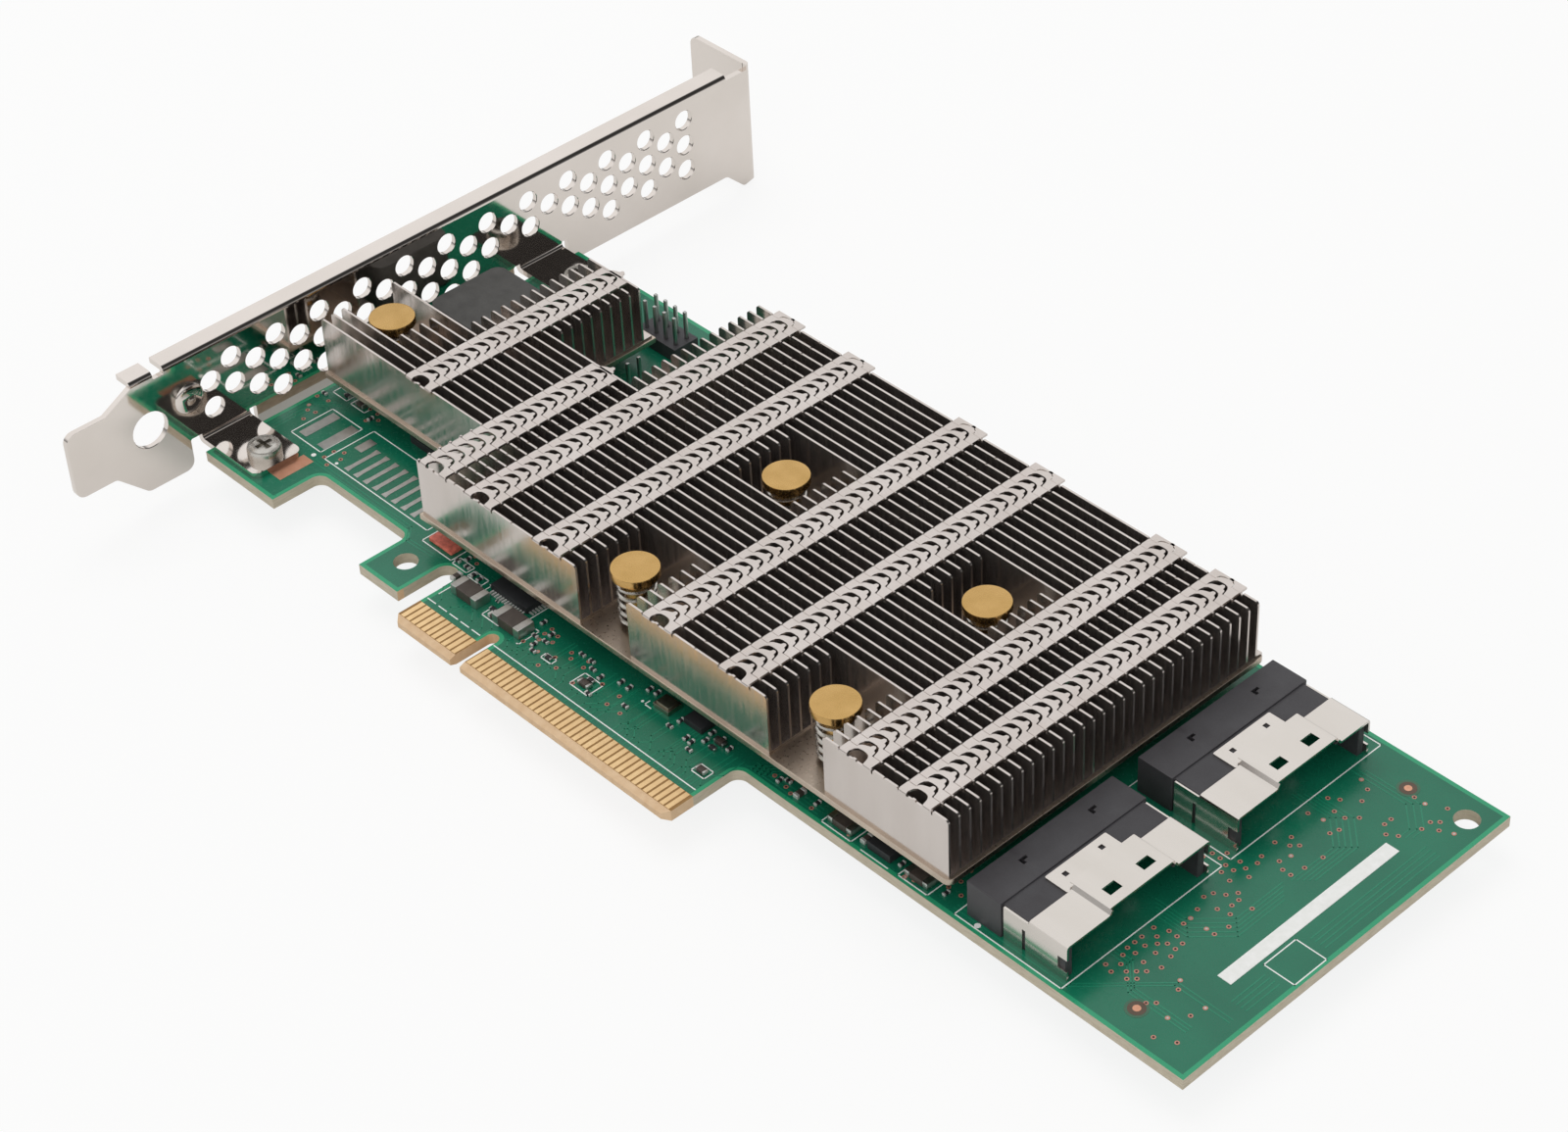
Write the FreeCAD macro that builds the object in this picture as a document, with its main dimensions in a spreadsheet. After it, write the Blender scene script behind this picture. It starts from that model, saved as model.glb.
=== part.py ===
import FreeCAD, Part
import os
import re
import Sketcher

# A drive controller card: a low edge-connector board with a slot bracket, a finned heat sink
# folded from sheet, and two cable ports at the far end. Millimetres throughout.
# Origin: centre of the key notch, on the outer edge of the contacts, on the component face.
# +X runs along the card to the cable ports, +Y up to the card's top edge, +Z out of the board.

sizes = {
    # board
    "boardLength": 167.65, "boardTop": 68.9, "boardSheet": 1.57,
    "keyWidth": 1.9, "keyDepth": 6.9, "keyToContact": 1.5,
    "contactPitch": 1.0, "contactWidth": 0.7, "contactCopper": 0.04,
    "contactStart": 0.95, "contactEnd": 4.35, "contactMargin": 0.8,
    "contactsBeforeKey": 11, "contactsAfterKey": 38,
    "bevelRun": 0.9, "bevelRise": 0.35, "edgeShoulder": 11.6,
    "hookSlot": 3.44, "hookWidth": 7.86, "hookLow": 3.4, "hookHoleWidth": 3.3,
    "hookHoleInset": 4.0, "hookHoleUp": 7.98,
    "notchWidth": 18.8, "notchRound": 1.5, "footTabWidth": 14.75, "footTabLow": 3.7,
    "toolHoleWidth": 3.3, "toolHoleInset": 3.34, "toolHoleDrop": 3.92,
    # bracket
    "bracketGap": 1.74, "bracketSheet": 0.86, "faceLow": 2.4, "faceHigh": 14.8, "earTop": 104.9,
    "earDepth": 11.43, "earLow": 5.5, "earFlare": 99.2, "earPoint": 102.5, "earSlotWidth": 4.42,
    "earSlotDepth": 5.8, "earSlotClip": 1.3, "earSlotInset": 5.4, "humpLow": 3.0, "humpEnd": 2.8,
    "tongueEnd": 15.1, "tongueLow": 1.4, "tongueHigh": 11.6,
    "shoulderStart": 9.0, "shoulderEnd": 4.6, "flangeDepth": 2.2, "flangeStart": 0.6,
    "flangeEnd": 100.0, "lipStart": 4.6, "lipEnd": 1.1, "lipNotch": 1.2,
    "footWidth": 7.8, "footReach": 11.69, "frontFoot": 4.6, "rearFoot": 59.6, "footSlit": 1.1,
    "slitTop": 1.6, "footHoleInset": 3.1, "bendRound": 0.8, "cornerRound": 1.4,
    "ventWidth": 3.1, "ventSides": 8, "ventPitch": 4.23, "ventTop": 11.0, "ventStart": 7.25,
    "ventColumns": 12, "doorHoleWidth": 5.4, "doorHoleAt": 2.8, "doorHoleUp": 6.3,
    "dimpleAt": 3.7, "dimpleUp": 8.0, "dimpleWidth": 4.6, "dimpleRise": 0.5,
    "screwWidth": 3.0, "screwPlay": 0.15, "headWidth": 4.8, "headRise": 1.6, "screwPast": 0.3,
    "crossWidth": 0.7,
    "crossLength": 3.0, "crossDepth": 1.1, "nutAcross": 5.5, "nutThick": 1.8, "nutPlay": 0.02,
    # heat sink
    "baseUnder": 3.5, "baseSheet": 0.9, "finTop": 13.3, "finSheet": 0.3, "finPitch": 1.7,
    "finFront": 12.6, "finCount": 32, "rearTab": 1.3, "baseLip": 0.4, "baseCorner": 1.0, "sinkLeft": -21.2,
    "sinkRight": 73.9, "blockLeft": -54.5, "stepLeft": -44.25, "columnLeft": -39.6,
    "columnRight": -29.0, "rearLeft": -14.8, "tabWidth": 5.1,
    "windowLeft": 9.75, "windowRight": 19.2, "gapLeft": 44.0, "gapRight": 53.5,
    "stripBlock": -33.8, "stripEdge": -18.1, "stripOne": -9.1, "stripTwo": 4.2,
    "stripThree": 24.7, "stripFour": 38.3, "stripFive": 58.8, "stripSix": 68.45,
    # spring pins
    "pinLeft": 14.9, "pinRight": 50.25, "pinRear": 43.05, "pinFront": 17.85, "pinBlockX": -48.1,
    "pinBlockY": 29.8, "pinCapWidth": 6.3, "pinCapRise": 1.2, "pinWidth": 2.9, "pinPlay": 0.15,
    "pinBarbWidth": 3.5, "pinBarbLength": 1.0, "pinNoseWidth": 2.6, "pinNoseLength": 1.2,
    "pinSplit": 0.6, "pinSplitRoot": 0.2,
    "springWidth": 5.2, "springWire": 0.6, "capSides": 20, "shankSides": 12, "springSides": 8,
    # chips under the heat sink
    "chipAtX": 32.5, "chipAtY": 31.0, "chipSide": 31.0, "chipRise": 1.6, "lidSide": 24.0,
    "lidRise": 1.0, "lidPadInset": 2.0, "chipPadInset": 0.5,
    "memoryLong": 12.5, "memoryWide": 10.0, "memoryRise": 1.2,
    "bridgeX": -34.0, "bridgeY": 29.0, "bridgeSide": 10.0,
    # cable ports
    "portInset": 34.4, "portY": 25.3, "portPitch": 28.6, "portWidth": 24.2, "portLong": 15.4,
    "portRearLong": 5.4, "portHigh": 5.3, "portStep": 0.3, "portFloor": 0.4, "portRoof": 0.35,
    "portSide": 1.1, "shellSheet": 0.3, "shellInset": 0.2, "wingLong": 5.9,
    "plateLong": 6.5, "plateInset": 0.3, "plateWidth": 11.2, "plateShift": 0.8,
    "plateRise": 0.7, "plateWindowIn": 3.1, "plateWindowLong": 1.4, "plateWindowWide": 2.0,
    "plateWindowApart": 5.6, "strapLong": 9.5, "strapWidth": 10.1, "strapShift": -0.5,
    "strapRise": 0.2, "strapHole": 0.7, "strapHoleIn": 1.0, "strapHoleApart": 6.0, "sideLong": 9.8,
    "sideHigh": 4.4, "sideSlot": 0.5, "sideSlotIn": 6.9, "sideSlotDrop": 1.0, "sideFork": 1.4,
    "forkLow": 1.4, "forkHigh": 3.2, "trayInset": 0.5, "blades": 18, "bladePitch": 0.8,
    "bladeWidth": 0.35, "bladeSheet": 0.25, "mouthLow": 1.6, "mouthHigh": 3.5,
    "mouthWidth": 15.4, "mouthDepth": 3.8,
    # headers
    "headerX": -30.85, "headerY": 62.65, "headerPitch": 2.0, "headerLong": 8.1,
    "headerWide": 4.3, "headerRise": 2.2, "jumperX": -24.6, "jumperY": 51.4, "jumperLong": 4.3,
    "jumperWide": 2.2, "postSquare": 0.5, "postHigh": 6.6, "postUnder": 2.6, "postHole": 0.75,
    "postHoleSides": 8,
    # parts on the open board
    "coilX": -47.2, "coilY": 45.75, "coilSide": 12.6, "coilRise": 8.0, "coilLift": 0.25,
    "coilCorner": 1.6, "coilPadWide": 4.6, "coilPadLong": 2.2,
    "quadX": -3.95, "quadY": 15.5, "quadSide": 7.0, "quadRise": 1.0,
    "redX": -18.65, "redY": 13.7, "redLong": 4.6, "redWide": 2.0, "redRise": 0.6,
    "clockX": 25.3, "clockY": 12.85, "clockLong": 2.8, "clockWide": 2.3, "clockRise": 0.9,
    "canWall": 0.3, "canRise": 0.25, "endShare": 0.22,
}

doc = FreeCAD.newDocument("ControllerCard")
sheet = doc.addObject("Spreadsheet::Sheet", "Sizes")
for row, (alias, amount) in enumerate(sizes.items(), start=1):
    sheet.set("A%d" % row, alias)
    sheet.set("B%d" % row, str(amount))
    sheet.setAlias("B%d" % row, alias)
doc.recompute()
subParts = []


def bound(text):
    # an expression in sheet words, made to read the sheet from another object
    return re.sub(r"[A-Za-z]+", lambda word: "Sizes." + word.group(0), text)


def number(text):
    return float(sheet.evalExpression(text))


def node(item, label):
    item.Label = label
    subParts.append(item)
    return item


def bindBase(item, x, y, z):
    item.setExpression(".Placement.Base.x", bound(x))
    item.setExpression(".Placement.Base.y", bound(y))
    item.setExpression(".Placement.Base.z", bound(z))


def block(name, xRange, yRange, zRange):
    # a box from low to high along each axis, each end an expression
    item = doc.addObject("Part::Box", name)
    bindBase(item, xRange[0], yRange[0], zRange[0])
    for side, ends in (("Length", xRange), ("Width", yRange), ("Height", zRange)):
        item.setExpression(side, bound("(%s) - (%s)" % (ends[1], ends[0])))
    return item


def slab(name, x, y, long, wide, low, high):
    # a box centred on a point of the board
    return block(name, ("%s - (%s) / 2" % (x, long), "%s + (%s) / 2" % (x, long)),
                 ("%s - (%s) / 2" % (y, wide), "%s + (%s) / 2" % (y, wide)), (low, high))


def prism(name, x, y, low, high, width, sides):
    # a turned bar, drawn with flat sides so that the exported mesh stays light
    item = doc.addObject("Part::Prism", name)
    bindBase(item, x, y, low)
    item.setExpression("Polygon", bound(sides))
    item.setExpression("Circumradius", bound("(%s) / 2" % width))
    item.setExpression("Height", bound("(%s) - (%s)" % (high, low)))
    return item


def crossBar(name, x, y, z, reach, width, sides):
    # the same bar laid along +X from its start
    item = prism(name, x, y, z, "%s + %s" % (z, reach), width, sides)
    item.Placement.Rotation = FreeCAD.Rotation(FreeCAD.Vector(0, 1, 0), 90)
    return item


def drill(name, spots, low, high, width, sides):
    return [prism("%s%d" % (name, place), x, y, low, high, width, sides) for place, (x, y) in enumerate(spots)]


def fuse(name, pieces):
    item = doc.addObject("Part::MultiFuse", name)
    item.Shapes = pieces
    item.Refine = True
    return item


def cut(name, base, tools):
    item = doc.addObject("Part::Cut", name)
    item.Base = base
    item.Tool = tools[0] if len(tools) == 1 else group(name + "Tools", tools)
    item.Refine = True
    return item


def group(name, pieces):
    item = doc.addObject("Part::Compound", name)
    item.Links = pieces
    return item


def newBody(name):
    body = doc.addObject("PartDesign::Body", name)
    body.AllowCompound = True
    return body


def newSketch(body, name, plane, lift):
    sketch = body.newObject("Sketcher::SketchObject", name)
    planes = {feature.Role: feature for feature in body.Origin.OriginFeatures}
    sketch.AttachmentSupport = (planes[plane], [""])
    sketch.MapMode = "FlatFace"
    sketch.setExpression(".AttachmentOffset.Base.z", bound(lift))
    return sketch


def drawOutline(sketch, corners):
    # a closed outline of straight sides, each corner held by its two distances from the axes
    first = sketch.GeometryCount
    spots = [FreeCAD.Vector(number(u), number(v), 0) for u, v in corners]
    for here, spot in enumerate(spots):
        sketch.addGeometry(Part.LineSegment(spot, spots[(here + 1) % len(spots)]), False)
    for here, (u, v) in enumerate(corners):
        line = first + here
        after = first + (here + 1) % len(corners)
        sketch.addConstraint(Sketcher.Constraint("Coincident", line, 2, after, 1))
        for kind, text in (("DistanceX", u), ("DistanceY", v)):
            held = sketch.addConstraint(Sketcher.Constraint(kind, -1, 1, line, 1, number(text)))
            sketch.setExpression("Constraints[%d]" % held, bound(text))


def drawRectangle(sketch, uRange, vRange):
    drawOutline(sketch, [(uRange[0], vRange[0]), (uRange[1], vRange[0]),
                         (uRange[1], vRange[1]), (uRange[0], vRange[1])])


def drawCircle(sketch, u, v, width):
    centre = FreeCAD.Vector(number(u), number(v), 0)
    ring = sketch.addGeometry(Part.Circle(centre, FreeCAD.Vector(0, 0, 1), number(width) / 2))
    for kind, text in (("DistanceX", u), ("DistanceY", v)):
        held = sketch.addConstraint(Sketcher.Constraint(kind, -1, 1, ring, 3, number(text)))
        sketch.setExpression("Constraints[%d]" % held, bound(text))
    held = sketch.addConstraint(Sketcher.Constraint("Diameter", ring, number(width)))
    sketch.setExpression("Constraints[%d]" % held, bound(width))


def pad(body, name, sketch, length, reversed=False):
    feature = body.newObject("PartDesign::Pad", name)
    feature.Profile = sketch
    feature.setExpression("Length", bound(length))
    feature.Reversed = reversed
    return feature


def pocket(body, name, sketch, length=None):
    # with no length the cut goes right through, both ways
    feature = body.newObject("PartDesign::Pocket", name)
    feature.Profile = sketch
    if length is None:
        feature.Type = "ThroughAll"
        feature.Midplane = True
    else:
        feature.setExpression("Length", bound(length))
    return feature


def edgesAt(feature, along, spots):
    # names of the straight edges that run along one axis through each given point
    axis = {"x": 0, "y": 1, "z": 2}[along]
    names = []
    for index, edge in enumerate(feature.Shape.Edges, start=1):
        start, end = edge.firstVertex().Point, edge.lastVertex().Point
        sides = [side for side in range(3) if side != axis]
        if any(abs(start[side] - end[side]) > 1e-4 for side in sides):
            continue
        for spot in spots:
            wanted = [number(text) for text in spot]
            if all(abs(start[side] - wanted[place]) < 1e-3 for place, side in enumerate(sides)):
                names.append("Edge%d" % index)
    return names


def roundEdges(body, name, feature, along, spots, radius):
    doc.recompute()
    fillet = body.newObject("PartDesign::Fillet", name)
    fillet.Base = (feature, edgesAt(feature, along, spots))
    fillet.setExpression("Radius", bound(radius))
    return fillet


# board

contactLeft = "(0 - keyToContact - (contactsBeforeKey - 1) * contactPitch - contactMargin)"
contactRight = "(keyToContact + (contactsAfterKey - 1) * contactPitch + contactMargin)"
hookRight = "(%s - hookSlot)" % contactLeft
hookLeft = "(%s - hookWidth)" % hookRight
footTabRight = "(%s - notchWidth)" % hookLeft
boardLeft = "(%s - footTabWidth)" % footTabRight
boardRight = "(%s + boardLength)" % boardLeft
boardUnder = "(0 - boardSheet)"
keyLeft, keyRight = "(0 - keyWidth / 2)", "(keyWidth / 2)"
clip = "bevelRun"

footTip = "(%s - bracketGap + footReach)" % boardLeft
screwHole = "(screwWidth + 2 * screwPlay)"
footHoleX = "(%s - footHoleInset)" % footTip
footHoleSpots = [(footHoleX, "frontFoot + footWidth / 2"), (footHoleX, "rearFoot + footWidth / 2")]
pinSpots = [("pinLeft", "pinRear"), ("pinRight", "pinRear"), ("pinLeft", "pinFront"),
            ("pinRight", "pinFront"), ("pinBlockX", "pinBlockY")]
headerSpots = [("headerX + (%s) * headerPitch" % along, "headerY + (%s) * headerPitch" % across)
               for along in ("0 - 1.5", "0 - 0.5", "0.5", "1.5") for across in ("0 - 0.5", "0.5")]
jumperSpots = [("jumperX", "jumperY + (%s) * headerPitch" % across) for across in ("0 - 0.5", "0.5")]


def makeBoard():
    body = newBody("Board")
    outline = newSketch(body, "BoardOutline", "XY_Plane", "0")
    drawOutline(outline, [
        (boardLeft, "footTabLow"), (footTabRight, "footTabLow"), (footTabRight, "edgeShoulder"),
        (hookLeft, "edgeShoulder"), (hookLeft, "hookLow"), (hookRight, "hookLow"),
        (hookRight, "edgeShoulder"), (contactLeft, "edgeShoulder"), (contactLeft, clip),
        (contactLeft + " + " + clip, "0"), (keyLeft, "0"), (keyLeft, "keyDepth"),
        (keyRight, "keyDepth"), (keyRight, "0"), (contactRight + " - " + clip, "0"),
        (contactRight, clip), (contactRight, "edgeShoulder"), (boardRight, "edgeShoulder"),
        (boardRight, "boardTop"), (boardLeft, "boardTop")])
    plate = pad(body, "BoardPlate", outline, "boardSheet", True)
    notches = roundEdges(body, "NotchCorners", plate, "z", [
        (footTabRight, "edgeShoulder"), (hookLeft, "edgeShoulder"), (contactRight, "edgeShoulder")], "notchRound")
    slot = roundEdges(body, "SlotEnd", notches, "z", [
        (hookRight, "edgeShoulder"), (contactLeft, "edgeShoulder")], "hookSlot / 2 - 0.02")
    roundEdges(body, "KeyEnd", slot, "z", [(keyLeft, "keyDepth"), (keyRight, "keyDepth")],
               "keyWidth / 2 - 0.02")
    holes = newSketch(body, "BoardHoles", "XY_Plane", "0")
    drawCircle(holes, hookRight + " - hookHoleInset", "hookHoleUp", "hookHoleWidth")
    drawCircle(holes, boardRight + " - toolHoleInset", "boardTop - toolHoleDrop", "toolHoleWidth")
    pocket(body, "BoardHoleCut", holes)
    bevel = newSketch(body, "ContactBevel", "YZ_Plane", "0")
    drawOutline(bevel, [("0", "0"), ("bevelRun", "0"), ("0", "0 - bevelRise")])
    drawOutline(bevel, [("0", boardUnder), ("bevelRun", boardUnder), ("0", boardUnder + " + bevelRise")])
    pocket(body, "BevelCut", bevel)
    drills = (drill("BoardFootHole", footHoleSpots, boardUnder, "0", screwHole, "shankSides")
              + drill("BoardPinHole", pinSpots, boardUnder, "0", "pinWidth + 2 * pinPlay", "shankSides")
              + drill("BoardPostHole", headerSpots + jumperSpots, boardUnder, "0", "postHole", "postHoleSides"))
    return node(cut("BoardDrilled", body, drills), "board")


def makeContacts():
    # the plated contacts, in two rows on each face, either side of the key notch
    strips = []
    rows = (("Before", "0 - keyToContact", "0 - contactPitch", int(sizes["contactsBeforeKey"])),
            ("After", "keyToContact", "contactPitch", int(sizes["contactsAfterKey"])))
    faces = (("Front", "0", "contactCopper"), ("Back", boardUnder + " - contactCopper", boardUnder))
    for rowName, start, step, count in rows:
        for faceName, low, high in faces:
            for place in range(count):
                middle = "%s + %d * (%s)" % (start, place, step)
                strips.append(block("Contact%s%s%d" % (rowName, faceName, place),
                                    (middle + " - contactWidth / 2", middle + " + contactWidth / 2"),
                                    ("contactStart", "contactEnd"), (low, high)))
    return node(group("EdgeContacts", strips), "edge_contacts")


# slot bracket

faceIn = "(%s - bracketGap)" % boardLeft
faceOut = "(%s - bracketSheet)" % faceIn
earTip = "(%s - earDepth)" % faceOut
feet = ["frontFoot", "rearFoot"]


def makeBracket():
    body = newBody("Bracket")
    face = newSketch(body, "FaceOutline", "YZ_Plane", faceOut)
    drawOutline(face, [
        ("0 - tongueEnd", "tongueLow"), ("0 - shoulderStart", "tongueLow"),
        ("0 - shoulderEnd", "0 - humpLow"), ("humpEnd", "0 - humpLow"), ("humpEnd", "slitTop"),
        ("frontFoot", "slitTop"), ("frontFoot", "0"),
        ("frontFoot + footWidth", "0"), ("frontFoot + footWidth", "slitTop"),
        ("frontFoot + footWidth + footSlit", "slitTop"), ("frontFoot + footWidth + footSlit", "0 - faceLow"),
        ("rearFoot - footSlit", "0 - faceLow"), ("rearFoot - footSlit", "slitTop"),
        ("rearFoot", "slitTop"), ("rearFoot", "0"),
        ("rearFoot + footWidth", "0"), ("rearFoot + footWidth", "slitTop"),
        ("rearFoot + footWidth + footSlit", "slitTop"), ("rearFoot + footWidth + footSlit", "0 - faceLow"),
        ("earFlare", "0 - faceLow"), ("earPoint", "0 - earLow"), ("earTop", "0 - earLow + 0.4"),
        ("earTop", "faceHigh"), ("0 - shoulderEnd", "faceHigh"), ("0 - shoulderStart", "tongueHigh"),
        ("0 - tongueEnd", "tongueHigh")])
    pad(body, "FacePlate", face, "bracketSheet")
    flange = newSketch(body, "FlangeOutline", "YZ_Plane", faceOut)
    drawRectangle(flange, ("flangeStart", "flangeEnd"), ("faceHigh - bracketSheet", "faceHigh"))
    drawRectangle(flange, ("0 - lipStart", "0 - lipEnd"), ("faceHigh - bracketSheet", "faceHigh"))
    pad(body, "Flange", flange, "flangeDepth", True)
    ear = newSketch(body, "EarOutline", "YZ_Plane", faceOut)
    drawRectangle(ear, ("earTop - bracketSheet", "earTop"), ("0 - earLow + 0.4", "faceHigh"))
    pad(body, "Ear", ear, "earDepth", True)
    foot = newSketch(body, "FootOutline", "YZ_Plane", faceIn)
    for start in feet:
        drawRectangle(foot, (start, start + " + footWidth"), ("0", "bracketSheet"))
    sheetMetal = pad(body, "Feet", foot, "footReach")
    earCorners = roundEdges(body, "EarCorners", sheetMetal, "y", [
        (earTip, "faceHigh"), (earTip, "0 - earLow + 0.4")], "cornerRound")
    footBends = roundEdges(body, "FootBends", earCorners, "y", [(faceOut, "0")], "bendRound")
    flangeBend = roundEdges(body, "FlangeBend", footBends, "y", [(faceIn, "faceHigh")], "bendRound")
    earBend = roundEdges(body, "EarBend", flangeBend, "z", [(faceIn, "earTop")], "bendRound")
    tongue = roundEdges(body, "TongueCorners", earBend, "x", [
        ("0 - tongueEnd", "tongueLow"), ("0 - tongueEnd", "tongueHigh"),
        ("0 - shoulderEnd", "0 - humpLow"), ("humpEnd", "0 - humpLow")], "cornerRound")
    roundEdges(body, "FootCorners", tongue, "z", [
        (footTip, start + extra) for start in feet for extra in ("", " + footWidth")], "cornerRound")
    doors = newSketch(body, "FaceHoles", "YZ_Plane", faceOut)
    drawCircle(doors, "0 - doorHoleAt", "doorHoleUp", "doorHoleWidth")
    drawRectangle(doors, ("0 - lipEnd", "flangeStart"), ("faceHigh - lipNotch", "faceHigh + 1"))
    pocket(body, "FaceHoleCut", doors)
    notch = newSketch(body, "EarSlot", "XZ_Plane", "0")
    slotX = "(%s + earSlotInset)" % earTip
    slotLow, slotHigh = slotX + " - earSlotWidth / 2", slotX + " + earSlotWidth / 2"
    slotTop = "earSlotDepth - earLow"
    drawOutline(notch, [
        (slotLow, "0 - earLow - 1"), (slotHigh, "0 - earLow - 1"), (slotHigh, slotTop + " - earSlotClip"),
        (slotHigh + " - earSlotClip", slotTop), (slotLow + " + earSlotClip", slotTop),
        (slotLow, slotTop + " - earSlotClip")])
    pocket(body, "EarSlotCut", notch)
    bump = crossBar("Dimple", faceIn, "dimpleAt", "dimpleUp", "dimpleRise", "dimpleWidth", "shankSides")
    hollow = crossBar("DimpleHollow", faceOut, "dimpleAt", "dimpleUp", "dimpleRise",
                      "dimpleWidth - 2 * bracketSheet", "shankSides")
    footHoles = drill("FootHole", footHoleSpots, "0", "bracketSheet", screwHole, "shankSides")
    holes = [hollow] + footHoles + ventHoles()
    return node(cut("BracketDrilled", fuse("BracketBlank", [body, bump]), holes), "bracket")


def ventHoles():
    # a close-packed lattice of round holes: odd columns hold three rows, even columns two,
    # and the lowest rows stop where the feet are folded out of the face
    column = "(ventPitch * 0.866)"
    rows = (("VentA", "ventStart + " + column, "ventTop", sizes["ventColumns"]),
            ("VentB", "ventStart + " + column, "ventTop - ventPitch", sizes["ventColumns"]),
            ("VentC", "ventStart", "ventTop - ventPitch / 2", sizes["ventColumns"]),
            ("VentD", "ventStart", "ventTop - ventPitch * 1.5", 7),
            ("VentE", "ventStart + 18 * " + column, "ventTop - ventPitch * 1.5", 3),
            ("VentF", "ventStart + 3 * " + column, "ventTop - ventPitch * 2", 5),
            ("VentG", "ventStart + 19 * " + column, "ventTop - ventPitch * 2", 3))
    holes = []
    for name, y, z, count in rows:
        for place in range(int(count)):
            spot = "%s + %d * 2 * %s" % (y, place, column)
            holes.append(crossBar("%s%d" % (name, place), faceOut, spot, z, "bracketSheet", "ventWidth", "ventSides"))
    return holes


def makeFasteners():
    screws, nuts = [], []
    for place, (x, y) in enumerate(footHoleSpots):
        label = str(place)
        shank = prism("ScrewShank" + label, x, y, boardUnder + " - nutThick - screwPast", "bracketSheet",
                      "screwWidth", "shankSides")
        head = prism("ScrewHead" + label, x, y, "bracketSheet", "bracketSheet + headRise", "headWidth", "capSides")
        screw = fuse("ScrewBlank" + label, [shank, head])
        top = "bracketSheet + headRise"
        bars = [slab("CrossA" + label, x, y, "crossLength", "crossWidth", top + " - crossDepth", top),
                slab("CrossB" + label, x, y, "crossWidth", "crossLength", top + " - crossDepth", top)]
        screws.append(cut("Screw" + label, screw, [fuse("Cross" + label, bars)]))
        nutUnder = boardUnder + " - nutThick"
        hexagon = prism("NutBlank" + label, x, y, nutUnder, boardUnder, "nutAcross / 0.866", "6")
        bore = prism("NutBore" + label, x, y, nutUnder, boardUnder, "screwWidth + 2 * nutPlay", "shankSides")
        nuts.append(cut("Nut" + label, hexagon, [bore]))
    node(group("BracketScrews", screws), "bracket_screws")
    node(group("BracketNuts", nuts), "bracket_nuts")


# heat sink

baseTop = "(baseUnder + baseSheet)"
finRear = "(finFront + (finCount - 1) * finPitch)"


def finPlace(row):
    return "(finFront + %d * finPitch)" % row


# rows of the fin stack where its outline steps, counted from the front
blockFront, blockPinRow, blockRear, columnRear = 6, 8, 13, 26
cutFront, cutRear, bayFront = 16, 21, 18


def makeBase():
    body = newBody("SinkBase")
    outline = newSketch(body, "BaseOutline", "XY_Plane", "baseUnder")
    right = "sinkRight + baseLip"
    rear = finRear + " + rearTab + baseLip / 2"
    blockRearY = finPlace(blockRear + 1) + " + baseLip"
    columnRearY = finPlace(columnRear + 1) + " + baseLip"
    drawOutline(outline, [
        ("sinkLeft - baseLip", "finFront - baseLip"), (right, "finFront - baseLip"), (right, rear),
        ("rearLeft - baseLip", rear), ("rearLeft - baseLip", finPlace(bayFront) + " + baseLip"),
        ("columnRight + baseLip", finPlace(bayFront) + " + baseLip"), ("columnRight + baseLip", columnRearY),
        ("columnLeft - baseLip", columnRearY), ("columnLeft - baseLip", blockRearY),
        ("blockLeft - baseLip", blockRearY), ("blockLeft - baseLip", finPlace(blockFront) + " - baseLip"),
        ("sinkLeft - baseLip", finPlace(blockFront) + " - baseLip")])
    plate = pad(body, "BasePlate", outline, "baseSheet")
    roundEdges(body, "BaseCorners", plate, "z", [(right, "finFront - baseLip"), (right, rear)], "baseCorner")
    holes = drill("BasePinHole", pinSpots, "baseUnder", baseTop, "pinWidth + 4 * pinPlay", "shankSides")
    return node(cut("BaseDrilled", body, holes), "heatsink_base")


def finSpans(row):
    # the stretches of sheet in one row, left to right
    windows = row <= blockFront or cutFront <= row <= cutRear
    if row < blockFront:
        start = "sinkLeft"
    elif row <= blockPinRow or row == blockRear:
        start = "blockLeft"
    elif row < blockRear:
        start = "stepLeft"
    elif row <= columnRear:
        start = "columnLeft"
    else:
        start = "rearLeft"
    spans = [(start, "sinkRight")]
    if bayFront <= row <= columnRear:
        spans = [(start, "columnRight"), ("rearLeft", "sinkRight")]
    if windows:
        last = spans.pop()
        spans += [(last[0], "windowLeft"), ("windowRight", "gapLeft"), ("gapRight", last[1])]
    return spans


def makeFin(row):
    # folded sheet: an upright web, a foot soldered to the base, and tabs on top that reach
    # back to the next row and close the stack like a zip
    front = finPlace(row)
    web = front + " + finSheet"
    reach = front + (" + rearTab" if row == sizes["finCount"] - 1 else " + finPitch")
    strips = [centre for centre, first, last in (
        ("stripBlock", blockFront, columnRear - 1), ("stripEdge", 0, bayFront - 2),
        ("stripOne", 0, 99), ("stripTwo", 0, 99), ("stripThree", 0, 99), ("stripFour", 0, 99),
        ("stripFive", 0, 99), ("stripSix", 0, 99)) if first <= row <= last]
    stretches = []
    for place, (left, right) in enumerate(finSpans(row)):
        label = "%02dPart%d" % (row + 1, place)
        footLeft = "stepLeft" if row == blockPinRow else left
        pieces = [block("Web" + label, (left, right), (front, web), (baseTop, "finTop")),
                  block("Foot" + label, (footLeft, right), (web, reach), (baseTop, baseTop + " + finSheet"))]
        for centre in strips:
            if number(left) < number(centre) < number(right):
                pieces.append(block("Tab%s%s" % (label, centre),
                                    (centre + " - tabWidth / 2", centre + " + tabWidth / 2"),
                                    (web, reach), ("finTop - finSheet", "finTop")))
        stretches.append(fuse("Fin" + label, pieces))
    whole = stretches[0] if len(stretches) == 1 else group("FinRow%02d" % (row + 1), stretches)
    return node(whole, "fin_%02d" % (row + 1))


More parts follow.
